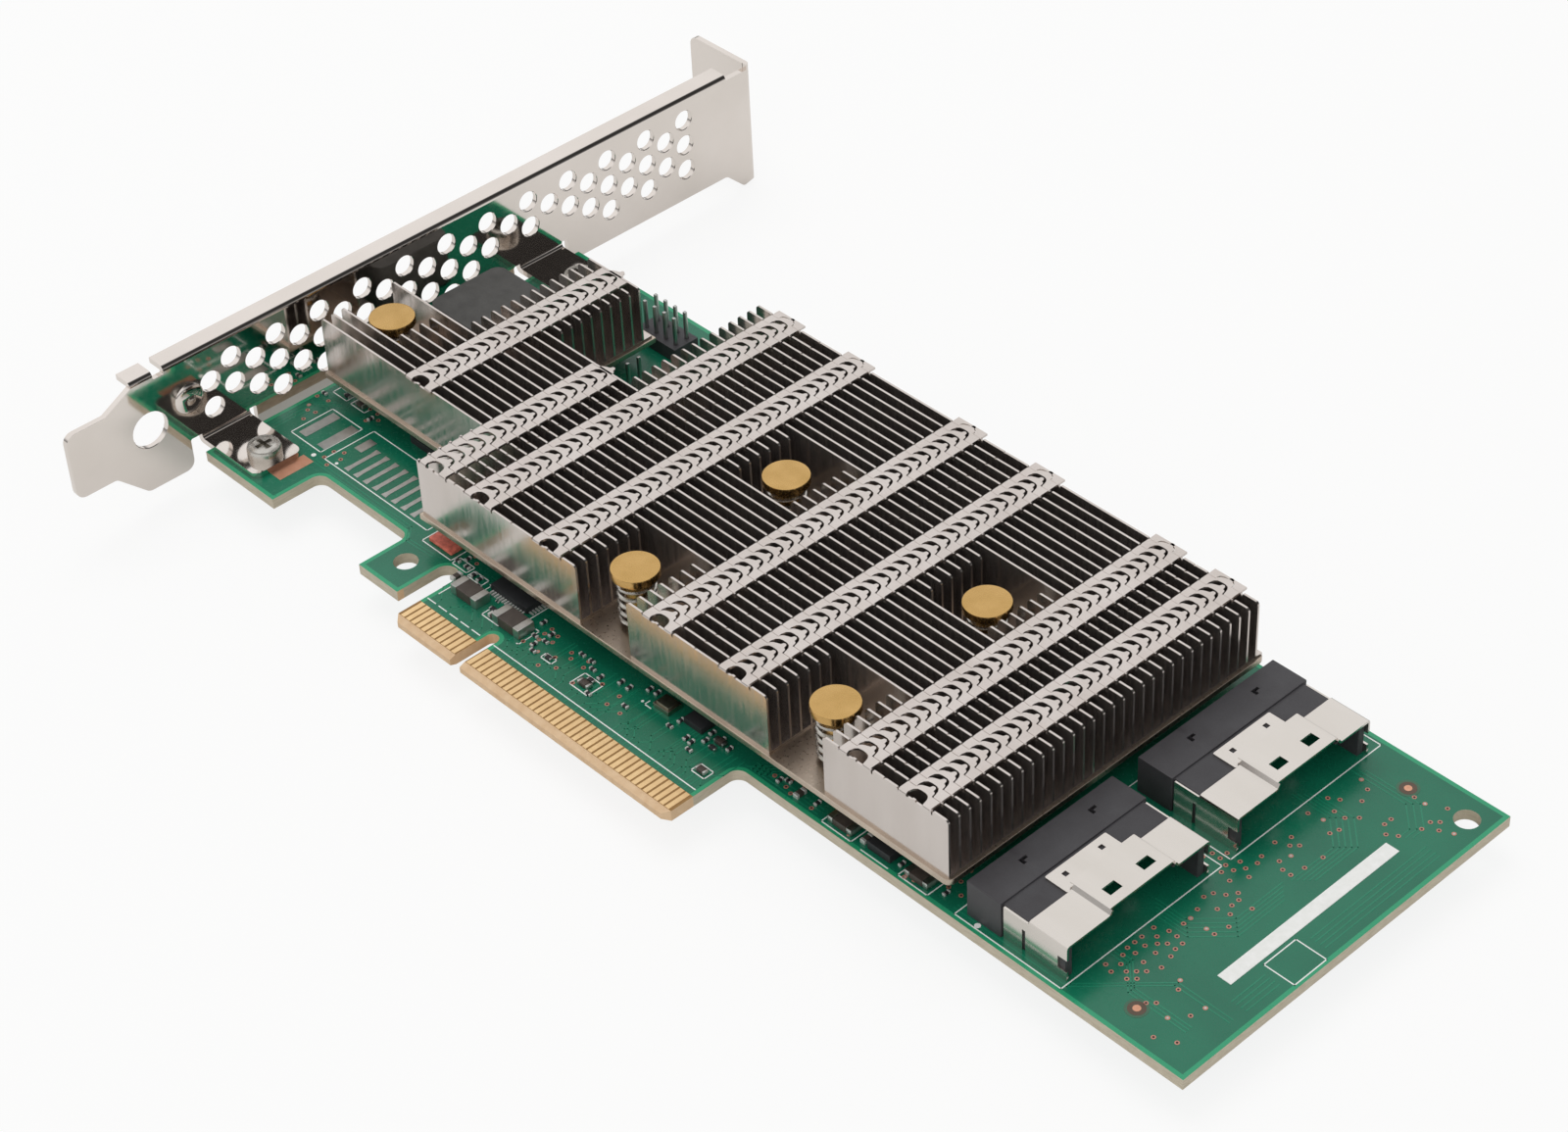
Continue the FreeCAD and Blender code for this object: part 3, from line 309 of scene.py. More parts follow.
board = {
    "left": -57.15, "right": 110.5, "top": 68.9, "thick": 1.57, "shoulder": 11.6, "footTabRight": -42.4,
    "footTabLow": 3.7, "hookLeft": -23.6, "hookRight": -15.74, "hookLow": 3.4, "hookTurn": 1.7,
    "contactLeft": -12.3, "contactRight": 39.3, "keyHalf": 0.95, "keyTop": 6.9, "keyTurn": 0.93, "clip": 0.9,
    "bevelRun": 0.9, "bevelRise": 0.35, "maskStart": 4.4, "border": 0.6, "turn": 1.5, "holeWidth": 3.3,
    "pinHoleWidth": 3.2,
}
boardHoles = [(-19.74, 7.98), (107.16, 64.98)]
pinSpots = [(14.9, 43.05), (50.25, 43.05), (14.9, 17.85), (50.25, 17.85), (-48.1, 29.8)]
footSpots = [(-50.3, 8.5), (-50.3, 63.5)]


def boardOutline():
    # the card's edge, from the foot tab's left end round the hook, the contacts and the key notch
    spec = board
    left, right, shoulder = spec["left"], spec["right"], spec["shoulder"]
    contactLeft, contactRight, clip = spec["contactLeft"], spec["contactRight"], spec["clip"]
    half, keyTop, keyTurn, hookTurn = spec["keyHalf"], spec["keyTop"], spec["keyTurn"], spec["hookTurn"]
    footTab = [(left, spec["footTabLow"], 0), (spec["footTabRight"], spec["footTabLow"], 0),
               (spec["footTabRight"], shoulder)]
    hook = [(spec["hookLeft"], shoulder), (spec["hookLeft"], spec["hookLow"], 0),
            (spec["hookRight"], spec["hookLow"], 0), (spec["hookRight"], shoulder, hookTurn)]
    contacts = [(contactLeft, shoulder, hookTurn), (contactLeft, clip, 0), (contactLeft + clip, 0, 0),
                (-half, 0, 0), (-half, keyTop, keyTurn), (half, keyTop, keyTurn), (half, 0, 0),
                (contactRight - clip, 0, 0), (contactRight, clip, 0), (contactRight, shoulder)]
    rest = [(right, shoulder, 0), (right, spec["top"], 0), (left, spec["top"], 0)]
    return roundCorners(footTab + hook + contacts + rest, spec["turn"], 8)


def makeBoard():
    spec = board
    holes = [circle(x, y, spec["holeWidth"], 32) for x, y in boardHoles]
    holes += [circle(x, y, spec["holeWidth"]) for x, y in footSpots]
    holes += [circle(x, y, spec["pinHoleWidth"]) for x, y in pinSpots]
    bm = bmesh.new()
    band = bmesh.ops.inset_region(bm, faces=fillSheet(bm, boardOutline()), use_boundary=True,
                                  use_even_offset=True, thickness=spec["border"])
    rim = set(band["faces"])
    for one in rim:
        one.material_index = 1
    # the field inside the band is filled anew, so that no thin face is left folded over
    edges = [edge for edge in bm.edges
             if len(rim.intersection(edge.link_faces)) == 1 and not edge.is_boundary]
    bmesh.ops.delete(bm, geom=[one for one in bm.faces if one not in rim], context="FACES")
    for hole in holes:
        edges += joinRound(bm, [bm.verts.new((x, y, 0)) for x, y in hole])
    bmesh.ops.triangle_fill(bm, use_beauty=True, edges=edges, normal=(0, 0, 1))
    for level in (spec["bevelRun"], spec["maskStart"]):
        cutAcross(bm, (0, level, 0), (0, 1, 0))
    for one in bm.faces:
        middle = one.calc_center_median()
        if middle.y < spec["maskStart"] and spec["contactLeft"] - 0.1 < middle.x < spec["contactRight"] + 0.1:
            one.material_index = 3 if middle.y > spec["bevelRun"] else 4
    thicken(bm, bm.faces[:], (0, 0, -spec["thick"]))
    for vert in bm.verts:
        if vert.co.y < 0.05:
            vert.co.z += spec["bevelRise"] if vert.co.z < -1 else -spec["bevelRise"]
    bm.normal_update()
    for one in bm.faces:
        if abs(one.normal.z) < 0.5:
            middle = one.calc_center_median()
            one.material_index = 4 if middle.y < spec["keyTop"] and middle.x > spec["hookRight"] else 2
    shown = ["greenMask", "maskBorder", "laminateEdge", "bareLaminate", "contactBevel"]
    return addPiece("board_laminate", bm, shown, ["board"], flat=True)


makeBoard()


# what is printed, plated and tinned on the board's face

def addStroke(bm, start, end, width, low, high):
    # a straight ribbon, a little proud of the face
    start, end = Vector(start), Vector(end)
    run = end - start
    turn = Matrix.Rotation(math.atan2(run.y, run.x), 4, "Z")
    middle = Matrix.Translation(((start.x + end.x) / 2, (start.y + end.y) / 2, (low + high) / 2))
    size = Matrix.Diagonal((run.length + width, width, high - low, 1))
    bmesh.ops.create_cube(bm, size=1, matrix=middle @ turn @ size)


def addPath(bm, points, width, low, high, closed=False):
    ends = points[1:] + points[:1] if closed else points[1:]
    for start, end in zip(points, ends):
        addStroke(bm, start, end, width, low, high)


def addDisc(bm, x, y, width, low, high, steps=16, mat=0):
    made = bmesh.ops.create_cone(bm, cap_ends=True, segments=steps, radius1=width / 2, radius2=width / 2,
                                 depth=high - low, matrix=Matrix.Translation((x, y, (low + high) / 2)))
    for face in {face for vert in made["verts"] for face in vert.link_faces}:
        face.material_index = mat


ink = {
    "width": 0.16, "rise": 0.03, "stripRise": 0.08,
    # left, right, front and rear
    "boxes": [(-52.5, -46.0, 14.3, 21.3), (-44.5, -22.7, 13.8, 22.1), (35.7, 38.0, 7.3, 8.9),
              (13.3, 16.7, 7.3, 9.9), (105.5, 110.0, 30.7, 36.2), (75.1, 91.8, 12.2, 39.2),
              (75.1, 91.8, 40.7, 67.9),
              (-21.6, -15.7, 12.1, 15.2), (-15.2, -12.3, 11.9, 13.3), (-11.8, -9.0, 11.6, 12.9),
              (-4.6, -1.2, 8.1, 9.4), (53.2, 58.2, 12.1, 15.3), (66.0, 70.8, 12.1, 15.3),
              (-55.6, -52.6, 23.7, 25.1), (-51.7, -48.7, 23.7, 25.1), (7.0, 9.0, 8.0, 9.0)],
    "paths": [[(-0.2, 11.4), (0.5, 11.4), (0.5, 17.0)], [(-8.0, 12.2), (-8.0, 11.4), (-7.3, 11.4)],
              [(-11.6, 6.9), (-11.6, 11.0), (-9.8, 11.0)], [(22.9, 12.0), (22.9, 11.2), (24.0, 11.2)],
              [(2.9, 7.6), (3.2, 7.6), (3.2, 11.0), (2.6, 11.0)], [(60.0, 12.0), (64.4, 12.0)]],
    "dashes": (-11.9, -1.6, 5.35, 1.5, 0.7),
    "line": [(1.2, 5.35), (38.6, 5.35)],
    "dots": [(-46.2, 13.3, 0.7), (-42.5, 14.3, 0.5), (78.3, 12.7, 0.8), (22.3, 11.4, 0.4), (-8.6, 11.2, 0.5),
             (28.3, 12.0, 0.4), (32.5, 15.2, 0.4)],
    "strip": (102.9, 104.9, 25.8, 55.3),
}


def makeInk():
    bm = bmesh.new()
    rise = ink["rise"]
    for corners in ink["boxes"]:
        addPath(bm, rectangle(*corners), ink["width"], 0, rise, True)
    for path in ink["paths"] + [ink["line"]]:
        addPath(bm, path, ink["width"], 0, rise)
    x, right, y, dash, gap = ink["dashes"]
    while x < right:
        addStroke(bm, (x, y), (min(x + dash, right), y), ink["width"], 0, rise)
        x += dash + gap
    for x, y, width in ink["dots"]:
        addDisc(bm, x, y, width, 0, rise)
    left, right, front, rear = ink["strip"]
    addBox(bm, (left, front, 0), (right, rear, ink["stripRise"]))
    return addPiece("white_ink", bm, ["whiteInk"], outward=False, flat=True)


pads = {
    "copper": (-47.2, -45.0, 6.9, 12.4), "copperRise": 0.03, "rise": 0.05,
    "tinned": [(-51.7, -50.1, 15.0, 20.8), (-47.7, -46.0, 15.0, 20.8), (-43.5, -42.0, 18.0, 20.7)],
    "row": {"first": -40.5, "pitch": 2, "count": 8, "low": 14.3, "high": 19.8, "half": 0.5, "waist": 0.34,
            "ends": 1.0},
    "fiducials": [(98.9, 64.3), (99.8, 15.9)],
    # from the outside in: width, rise, sides and finish
    "rings": [(2.9, 0.02, 32, 3), (2.2, 0.03, 32, 2), (1.0, 0.045, 24, 1)],
}


def makePads():
    bm = bmesh.new()
    left, right, front, rear = pads["copper"]
    addBox(bm, (left, front, 0), (right, rear, pads["copperRise"]), 1)
    for left, right, front, rear in pads["tinned"]:
        addBox(bm, (left, front, 0), (right, rear, pads["rise"]))
    spec = pads["row"]
    low, high, half, waist = spec["low"], spec["high"], spec["half"], spec["waist"]
    waistLow, waistHigh = low + spec["ends"], high - spec["ends"]
    for place in range(spec["count"]):
        # waisted pads, as solder pulls back from the middle
        x = spec["first"] + spec["pitch"] * place
        outline = [(x - half, low), (x + half, low), (x + waist, waistLow), (x + waist, waistHigh),
                   (x + half, high), (x - half, high), (x - waist, waistHigh), (x - waist, waistLow)]
        thicken(bm, fillSheet(bm, outline), (0, 0, pads["rise"]))
    for x, y in pads["fiducials"]:
        for width, rise, sides, mat in pads["rings"]:
            addDisc(bm, x, y, width, 0, rise, sides, mat)
    bmesh.ops.recalc_face_normals(bm, faces=bm.faces)
    return addPiece("bare_pads", bm, ["tinnedPad", "bareCopper", "clearedMask", "thinMask"],
                    outward=False, flat=True)


vias = {
    "ring": 0.62, "hole": 0.3, "ringRise": 0.03, "holeRise": 0.04, "seed": 7, "grid": 0.4, "apart": 1.0,
    "clear": 2.7, "openShare": 0.85, "tries": 30,
    # left, right, front and rear of a group, and how many it holds at most
    "groups": [(92.5, 97.5, 18.0, 27.5, 26), (88.0, 93.5, 38.0, 41.5, 9), (93.5, 99.0, 29.0, 38.0, 16),
               (93.0, 99.5, 40.0, 48.5, 14), (100.0, 108.0, 14.0, 24.0, 9), (100.0, 109.0, 56.0, 66.5, 12),
               (93.0, 98.0, 52.0, 62.0, 12), (3.0, 6.5, 8.0, 12.6, 9), (-45.0, -42.6, 13.0, 16.4, 6),
               (-57.0, -53.5, 17.0, 22.6, 6), (7.0, 22.0, 6.6, 11.6, 12), (39.6, 52.0, 12.8, 14.8, 5),
               (71.0, 74.8, 13.0, 22.0, 7), (-14.6, -11.9, 13.4, 15.2, 5),
               (-49.0, -45.4, 22.4, 26.0, 5), (42.0, 72.5, 12.2, 13.0, 4)],
}


def makeVias():
    spec = vias
    picker = random.Random(spec["seed"])
    bm = bmesh.new()
    placed = []
    holes = boardHoles + footSpots + pinSpots
    for left, right, front, rear, count in spec["groups"]:
        for _ in range(count):
            for _ in range(spec["tries"]):
                x = round(picker.uniform(left, right) / spec["grid"]) * spec["grid"]
                y = round(picker.uniform(front, rear) / spec["grid"]) * spec["grid"]
                free = all(math.dist((x, y), hole) > spec["clear"] for hole in holes)
                if free and all(math.dist((x, y), other) > spec["apart"] for other in placed):
                    placed.append((x, y))
                    addDisc(bm, x, y, spec["ring"], 0, spec["ringRise"], 12)
                    # most are open, each shown by a dark disc of painted shade where the hole is, and the
                    # others filled with tin
                    middle = 1 if picker.random() < spec["openShare"] else 2
                    addDisc(bm, x, y, spec["hole"], 0, spec["holeRise"], 10, middle)
                    break
    return addPiece("plated_vias", bm, ["viaRing", "viaHoleShade", "tinnedPad"], outward=False,
                    flat=True)


traces = {
    "width": 0.16, "rise": 0.018, "seed": 5, "skipShare": 0.25, "start": 4.6, "straight": (6.0, 1.6),
    "lean": (0.6, 1.8), "end": 12.6,
    # the first contact on either side of the key notch, the way to the next, and how many
    "contacts": ((-1.5, -1, 11), (1.5, 1, 38)),
    # a path, how many run side by side, and the step from one to the next
    "bundles": [([(91.8, 28.0), (96.5, 28.0), (100.5, 32.0), (100.5, 40.0)], 5, (-0.5, 0.5)),
                ([(91.8, 56.0), (97.5, 56.0), (101.0, 52.5), (101.0, 45.0)], 5, (-0.5, -0.5)),
                ([(92.2, 62.0), (100.4, 62.0), (103.4, 59.0), (103.4, 57.0)], 3, (0.6, 0.6)),
                ([(74.4, 12.9), (92.0, 12.9), (100.5, 21.4), (108.5, 21.4)], 2, (0.0, 0.6)),
                ([(92.2, 20.0), (94.5, 20.0), (97.5, 17.0), (106.0, 17.0)], 3, (0.0, 0.5)),
                ([(106.6, 24.0), (106.6, 29.6)], 4, (0.7, 0.0)),
                ([(106.6, 37.5), (106.6, 58.0)], 4, (0.7, 0.0)),
                ([(-56.0, 9.5), (-56.0, 20.0), (-53.4, 22.6)], 3, (0.6, 0.0)),
                ([(-45.0, 12.4), (-24.8, 12.4), (-23.0, 10.6), (-18.0, 10.9)], 2, (0.0, 0.5)),
                ([(40.5, 12.6), (52.0, 12.6)], 3, (0.0, 0.55)),
                ([(40.0, 12.4), (44.0, 16.4)], 4, (0.7, 0.0))],
}


def makeTraces():
    # copper under the mask: one track from most contacts, and bundles elsewhere on the card
    spec = traces
    picker = random.Random(spec["seed"])
    bm = bmesh.new()
    least, more = spec["straight"]
    for x in [first + way * place for first, way, count in spec["contacts"] for place in range(count)]:
        if picker.random() < spec["skipShare"]:
            continue
        y = least + picker.uniform(0, more)
        lean = picker.choice((-1, 1)) * picker.uniform(*spec["lean"])
        path = [(x, spec["start"]), (x, y), (x + lean, y + abs(lean)), (x + lean, spec["end"])]
        addPath(bm, path, spec["width"], 0, spec["rise"])
    for points, count, step in spec["bundles"]:
        for place in range(count):
            shifted = [(x + step[0] * place, y + step[1] * place) for x, y in points]
            addPath(bm, shifted, spec["width"], 0, spec["rise"])
    return addPiece("mask_traces", bm, ["maskOnCopper"], outward=False, flat=True)


makeInk()
makePads()
makeVias()
makeTraces()
print("board dressed")


# slot bracket: a face with its vents, and the flange, lip, ear and feet folded from it

bracket = {
    "inner": -58.89, "outer": -59.75, "sheet": 0.86, "low": -2.4, "high": 14.8, "bend": 0.8, "earTip": -71.18,
    "earTop": 104.9, "earLow": -5.1, "earStart": 1.6, "flange": 2.2, "footTip": -47.2, "feet": (4.6, 59.6),
    "footWidth": 7.8, "footStart": 1.2, "footHole": 3.3, "crease": 0.5, "slit": 1.1, "slitTop": 1.6,
    "vent": 3.1, "pitch": 4.23, "ventTop": 11.0, "ventStart": 7.25, "edge": 0.07,
    "accessHole": (-2.8, 6.3, 5.4), "slotAt": -65.78, "slotWidth": 4.42, "slotTop": 0.3,
    # the tongue: its lower edge, from the tip to the first foot, and its upper edge back to the tip
    "tongueBelow": [(-15.1, 1.4, 1.4), (-9.0, 1.4, 1.0), (-4.6, -3.0, 1.4), (2.8, -3.0, 1.4)],
    "tongueAbove": [(-9.0, 11.6, 0.6), (-15.1, 11.6, 1.4)],
    "lip": (-4.6, -1.1), "flangeEnds": (0.6, 100.0), "gapDeep": 1.2, "dimple": (3.7, 8.0, 2.3, 0.62, 0.12),
    "neck": (99.2, 102.5, -5.5), "slitTurn": 0.3, "earTurn": 1.4, "slotTurn": 2.2, "footTurn": 1.2,
}


def ventSpots():
    # the vents stand as the cells of a honeycomb do
    column = bracket["pitch"] * 0.866
    top, start, pitch = bracket["ventTop"], bracket["ventStart"], bracket["pitch"]
    rows = ((start + column, top, 12), (start + column, top - pitch, 12), (start, top - pitch / 2, 12),
            (start, top - pitch * 1.5, 7), (start + 18 * column, top - pitch * 1.5, 3),
            (start + 3 * column, top - pitch * 2, 5), (start + 19 * column, top - pitch * 2, 3))
    return [(y + 2 * column * place, z) for y, z, count in rows for place in range(count)]


def addProfile(bm, outline, place, shift):
    # a closed outline drawn out along one axis
    face = bm.faces.new([bm.verts.new(place(u, v)) for u, v in outline])
    thicken(bm, [face], shift)


def atRim(vert, holes, reach):
    # whether a point lies on the rim of one of the holes in the face
    return any(abs(math.dist(vert.co.yz, (y, z)) - size / 2 - reach) < 0.01 for y, z, size in holes)


def easeHoles(bm, holes, reach, levels):
    # each hole is drilled a little wide; its wall is cut close to both faces, and the middle is drawn in
    for y, z, size in holes:
        walls = [one for one in bm.faces if all(atRim(vert, [(y, z, size)], reach) for vert in one.verts)]
        geom = walls + list({edge for one in walls for edge in one.edges})
        geom += list({vert for one in walls for vert in one.verts})
        share = size / (size + 2 * reach)
        for level in levels:
            cut = bmesh.ops.bisect_plane(bm, geom=geom, dist=0.0001, plane_co=(level, 0, 0),
                                         plane_no=(1, 0, 0))
            geom = cut["geom"]
            for vert in [one for one in cut["geom_cut"] if isinstance(one, bmesh.types.BMVert)]:
                vert.co.y = y + (vert.co.y - y) * share
                vert.co.z = z + (vert.co.z - z) * share


def quarterTurn():
    # cosine and sine along a quarter of a turn, for the bends
    return [(math.cos(math.pi / 2 * step / 5), math.sin(math.pi / 2 * step / 5)) for step in range(6)]


def bracketFace(seam):
    # the outline of the upright face, from the tongue's lower corner round the feet and the ear
    spec = bracket
    low, high = spec["low"], spec["high"]
    slit, slitTop, turn = spec["slit"], spec["slitTop"], spec["slitTurn"]
    outline = spec["tongueBelow"] + [(spec["tongueBelow"][-1][0], slitTop, turn)]
    for start in spec["feet"]:
        end = start + spec["footWidth"]
        if start != spec["feet"][0]:
            outline += [(start - slit, low, turn), (start - slit, slitTop, turn)]
        outline += [(start, slitTop, 0), (end, slitTop, 0), (end + slit, slitTop, turn),
                    (end + slit, low, turn)]
    far = spec["earTop"] - spec["bend"]
    near, end = spec["flangeEnds"]
    # the lower edge runs down along the neck to the ear
    neckStart, neckEnd, neckLow = spec["neck"]
    outline += [(neckStart, low, 1.0), (neckEnd, neckLow, 0.8), (far, spec["earLow"], 0), (far, seam, 0),
                (end, seam, 0)]
    # a gap parts the flange from the lip
    lipStart, lipEnd = spec["lip"]
    gapLow = high - spec["gapDeep"]
    outline += [(near, seam, 0), (near, gapLow, 0.15), (lipEnd, gapLow, 0.15), (lipEnd, seam, 0),
                (lipStart, seam, 0)]
    return outline + spec["tongueAbove"]


def addEar(bm, far):
    # turned outwards from the face's end, with its screw slot open below
    spec = bracket
    inner, outer, sheet, bend = spec["inner"], spec["outer"], spec["sheet"], spec["bend"]
    low, high, top, tip = spec["earLow"], spec["high"], spec["earTop"], spec["earTip"]
    root = inner - spec["earStart"]
    turn = [(inner - bend + bend * c, far + bend * s) for c, s in quarterTurn()]
    turn += [(root, top), (root, top - sheet), (outer, top - sheet), (outer, far)]
    addProfile(bm, turn, lambda u, v: (u, v, low), (0, 0, high - low))
    slotTop, slotTurn = spec["slotTop"], spec["slotTurn"]
    mouthTurn, tipTurn = spec["slitTurn"], spec["earTurn"]
    slotLeft, slotRight = spec["slotAt"] - spec["slotWidth"] / 2, spec["slotAt"] + spec["slotWidth"] / 2
    ear = [(tip, low, tipTurn), (slotLeft, low, mouthTurn), (slotLeft, slotTop, slotTurn),
           (slotRight, slotTop, slotTurn), (slotRight, low, mouthTurn), (root, low, 0), (root, high, 0),
           (tip, high, tipTurn)]
    faces = fillSheet(bm, roundCorners(ear, 0, 6), (), lambda u, v: (u, top - sheet, v))
    thicken(bm, faces, (0, sheet, 0))


def addFoot(bm, start, spot):
    # folded in along a crease, onto the board, with its screw hole
    spec = bracket
    inner, outer, sheet, bend = spec["inner"], spec["outer"], spec["sheet"], spec["bend"]
    crease = spec["crease"]
    root = inner + spec["footStart"]
    fold = [(outer, spec["slitTop"])] + [(outer + bend - bend * c, bend - bend * s) for c, s in quarterTurn()]
    fold += [(root, 0), (root, sheet), (inner + crease, sheet)]
    fold += [(inner + crease - crease * s, sheet + crease - crease * c) for c, s in quarterTurn()[1:]]
    addProfile(bm, fold + [(inner, spec["slitTop"])], lambda u, v: (u, start, v), (0, spec["footWidth"], 0))
    end = start + spec["footWidth"]
    tip, turn = spec["footTip"], spec["footTurn"]
    flat = roundCorners([(root, start, 0), (tip, start, turn), (tip, end, turn), (root, end, 0)], 0, 6)
    thicken(bm, fillSheet(bm, flat, [circle(*spot, spec["footHole"])]), (0, 0, sheet))


def makeBracket():
    spec = bracket
    inner, outer, sheet, bend = spec["inner"], spec["outer"], spec["sheet"], spec["bend"]
    seam, far = spec["high"] - bend, spec["earTop"] - bend
    bm = bmesh.new()
    drilled = [(y, z, spec["vent"]) for y, z in ventSpots()] + [spec["accessHole"]]
    holes = [circle(y, z, size + 2 * spec["edge"], 28) for y, z, size in drilled]
    fillSheet(bm, roundCorners(bracketFace(seam), 0, 5), holes, lambda u, v: (outer, u, v))
    bmesh.ops.dissolve_limit(bm, angle_limit=0.01, verts=bm.verts, edges=bm.edges)
    thicken(bm, bm.faces[:], (sheet, 0, 0))
    # the long flange and the lip before it
    roll = [(inner - bend + bend * c, seam + bend * s) for c, s in quarterTurn()]
    roll += [(outer - spec["flange"], spec["high"]), (outer - spec["flange"], spec["high"] - sheet),
             (outer, spec["high"] - sheet), (outer, seam)]
    for start, end in (spec["flangeEnds"], spec["lip"]):
        addProfile(bm, roll, lambda u, v: (u, start, v), (0, end - start, 0))
    addEar(bm, far)
    for start, spot in zip(spec["feet"], footSpots):
        addFoot(bm, start, spot)
    bmesh.ops.recalc_face_normals(bm, faces=bm.faces)

    def onSeam(vert):
        # where the flat sheets meet their bends, and the holes' rims, nothing is bevelled
        x, y, z = vert.co
        return (abs(z - seam) < 0.01 and y > spec["lip"][0] - 0.1 or abs(y - far) < 0.01
                or abs(z - spec["slitTop"]) < 0.01 or abs(x - inner + spec["earStart"]) < 0.01
                or abs(x - inner - spec["footStart"]) < 0.01
                or x < inner + 0.01 and atRim(vert, drilled, spec["edge"]))

    edges = [edge for edge in bm.edges if not (onSeam(edge.verts[0]) and onSeam(edge.verts[1]))]
    softenEdges(bm, spec["edge"], 1, 40, edges)
    easeHoles(bm, drilled, spec["edge"], (outer + spec["edge"], inner - spec["edge"]))
    # the pressed dimple beside the first foot
    y, z, reach, rise, sunk = spec["dimple"]
    flat = Matrix.Translation((inner - sunk, y, z)) @ Matrix.Diagonal((rise, reach, reach, 1))
    bmesh.ops.create_uvsphere(bm, u_segments=24, v_segments=16, radius=1, matrix=flat)
    bm.normal_update()
    return addPiece("slot_bracket", bm, ["brightNickel"], ["bracket"], outward=False,
                    weighted=False)


def addTurned(bm, x, y, profile, steps=32):
    # a turned shape from half of its outline, listed from the bottom up
    verts = [bm.verts.new((x + reach, y, z)) for reach, z in profile]
    edges = [bm.edges.new(pair) for pair in zip(verts, verts[1:])]
    bmesh.ops.spin(bm, geom=verts + edges, cent=(x, y, 0), axis=(0, 0, 1), angle=math.tau, steps=steps,
                   use_merge=True)


screws = {
    "head": 4.7, "top": 2.42, "rise": 0.86, "shank": 1.5, "tip": -3.67, "crown": 0.9, "cross": 2.5,
    "slot": 0.6, "depth": 0.8, "taper": 0.8,
    # up the head's side: in from its rim, and up from its underside
    "side": [(0, 0), (0, 0.9), (0.15, 1.35), (0.45, 1.31)],
}


def makeScrews():
    spec = screws
    bm = bmesh.new()
    arm, half, rim = spec["cross"] / 2, spec["slot"] / 2, spec["head"] / 2
    plus = [(half, half), (half, arm), (-half, arm), (-half, half), (-arm, half), (-arm, -half),
            (-half, -half), (-half, -arm), (half, -arm), (half, -half), (arm, -half), (arm, half)]
    floor = spec["top"] - spec["depth"]
    for x, y in footSpots:
        addTurned(bm, x, y, [(spec["shank"], spec["tip"]), (spec["shank"], spec["rise"]),
                             *[(rim - inset, spec["rise"] + up) for inset, up in spec["side"]],
                             (rim - spec["crown"], spec["top"])])
        addTurned(bm, x, y, [(0.001, spec["tip"]), (spec["shank"], spec["tip"])])
        # the cross is open at the top and a little narrower at its floor
        upper = [(x + u, y + v) for u, v in plus]
        lower = [(x + u * spec["taper"], y + v * spec["taper"]) for u, v in plus]
        ring = circle(x, y, spec["head"] - 2 * spec["crown"], 32)
        fillSheet(bm, ring, [upper], lambda u, v: (u, v, spec["top"]))
        loops = []
        for loop, z in ((upper, spec["top"]), (lower, floor)):
            loops += joinRound(bm, [bm.verts.new((u, v, z)) for u, v in loop])
        bmesh.ops.bridge_loops(bm, edges=loops)
        fillSheet(bm, lower, (), lambda u, v: (u, v, floor))
    return addPiece("pan_screws", bm, ["screwNickel"], ["bracket_screws"])


makeBracket()
makeScrews()
dressNode("bracket_nuts", 0.15)
print("bracket and its fasteners made")


# spring pins: turned brass, with a coil spring under each cap

pins = {
    "cap": 3.15, "capTop": 13.3, "capUnder": 12.1, "shank": 1.45, "board": -1.57, "plate": 4.4,
    "springReach": 2.3, "wire": 0.3, "turns": 5.5, "stepsPerTurn": 20,
    # the point and the barb under the board: out from the middle, and height
    "point": [(0.001, -3.77), (1.1, -3.77), (1.3, -3.57), (1.75, -2.02), (1.75, -1.62)],
    # up the cap's rim: in from its side, and up from its underside
    "rim": [(0.15, 0), (0, 0.15), (0, 0.95), (0.07, 1.12), (0.24, 1.2)],
}


def makePins():
    spec = pins
    bm = bmesh.new()
    cap, under = spec["cap"], spec["capUnder"]
    profile = spec["point"] + [(spec["shank"], spec["board"]), (spec["shank"], under)]
    profile += [(cap - inset, under + up) for inset, up in spec["rim"]] + [(0.001, spec["capTop"])]
    for x, y in pinSpots:
        addTurned(bm, x, y, profile, 48)
    return addPiece("brass_pins", bm, ["turnedBrass"], ["spring_pins"])


def makeSprings():
    spec = pins
    bm = bmesh.new()
    steps = int(spec["turns"] * spec["stepsPerTurn"])
    climb = (spec["capUnder"] - spec["plate"] - 2 * spec["wire"]) / steps
    upright = Matrix.Rotation(math.pi / 2, 4, "X")
    for x, y in pinSpots:
        start = Matrix.Translation((x + spec["springReach"], y, spec["plate"] + spec["wire"]))
        section = bmesh.ops.create_circle(bm, cap_ends=False, segments=8, radius=spec["wire"],
                                          matrix=start @ upright)
        edges = list({edge for vert in section["verts"] for edge in vert.link_edges})
        bmesh.ops.spin(bm, geom=section["verts"] + edges, cent=(x, y, 0), axis=(0, 0, 1), dvec=(0, 0, climb),
                       angle=math.tau * spec["turns"], steps=steps)
    bmesh.ops.holes_fill(bm, edges=[edge for edge in bm.edges if edge.is_boundary])
    return addPiece("coil_springs", bm, ["springWire"], ["pin_springs"])


makePins()
makeSprings()
dressNode("heatsink_base", 0.15)
print("pins, springs and plate made")


# cable ports: a moulded housing open below, and a shell folded from one sheet

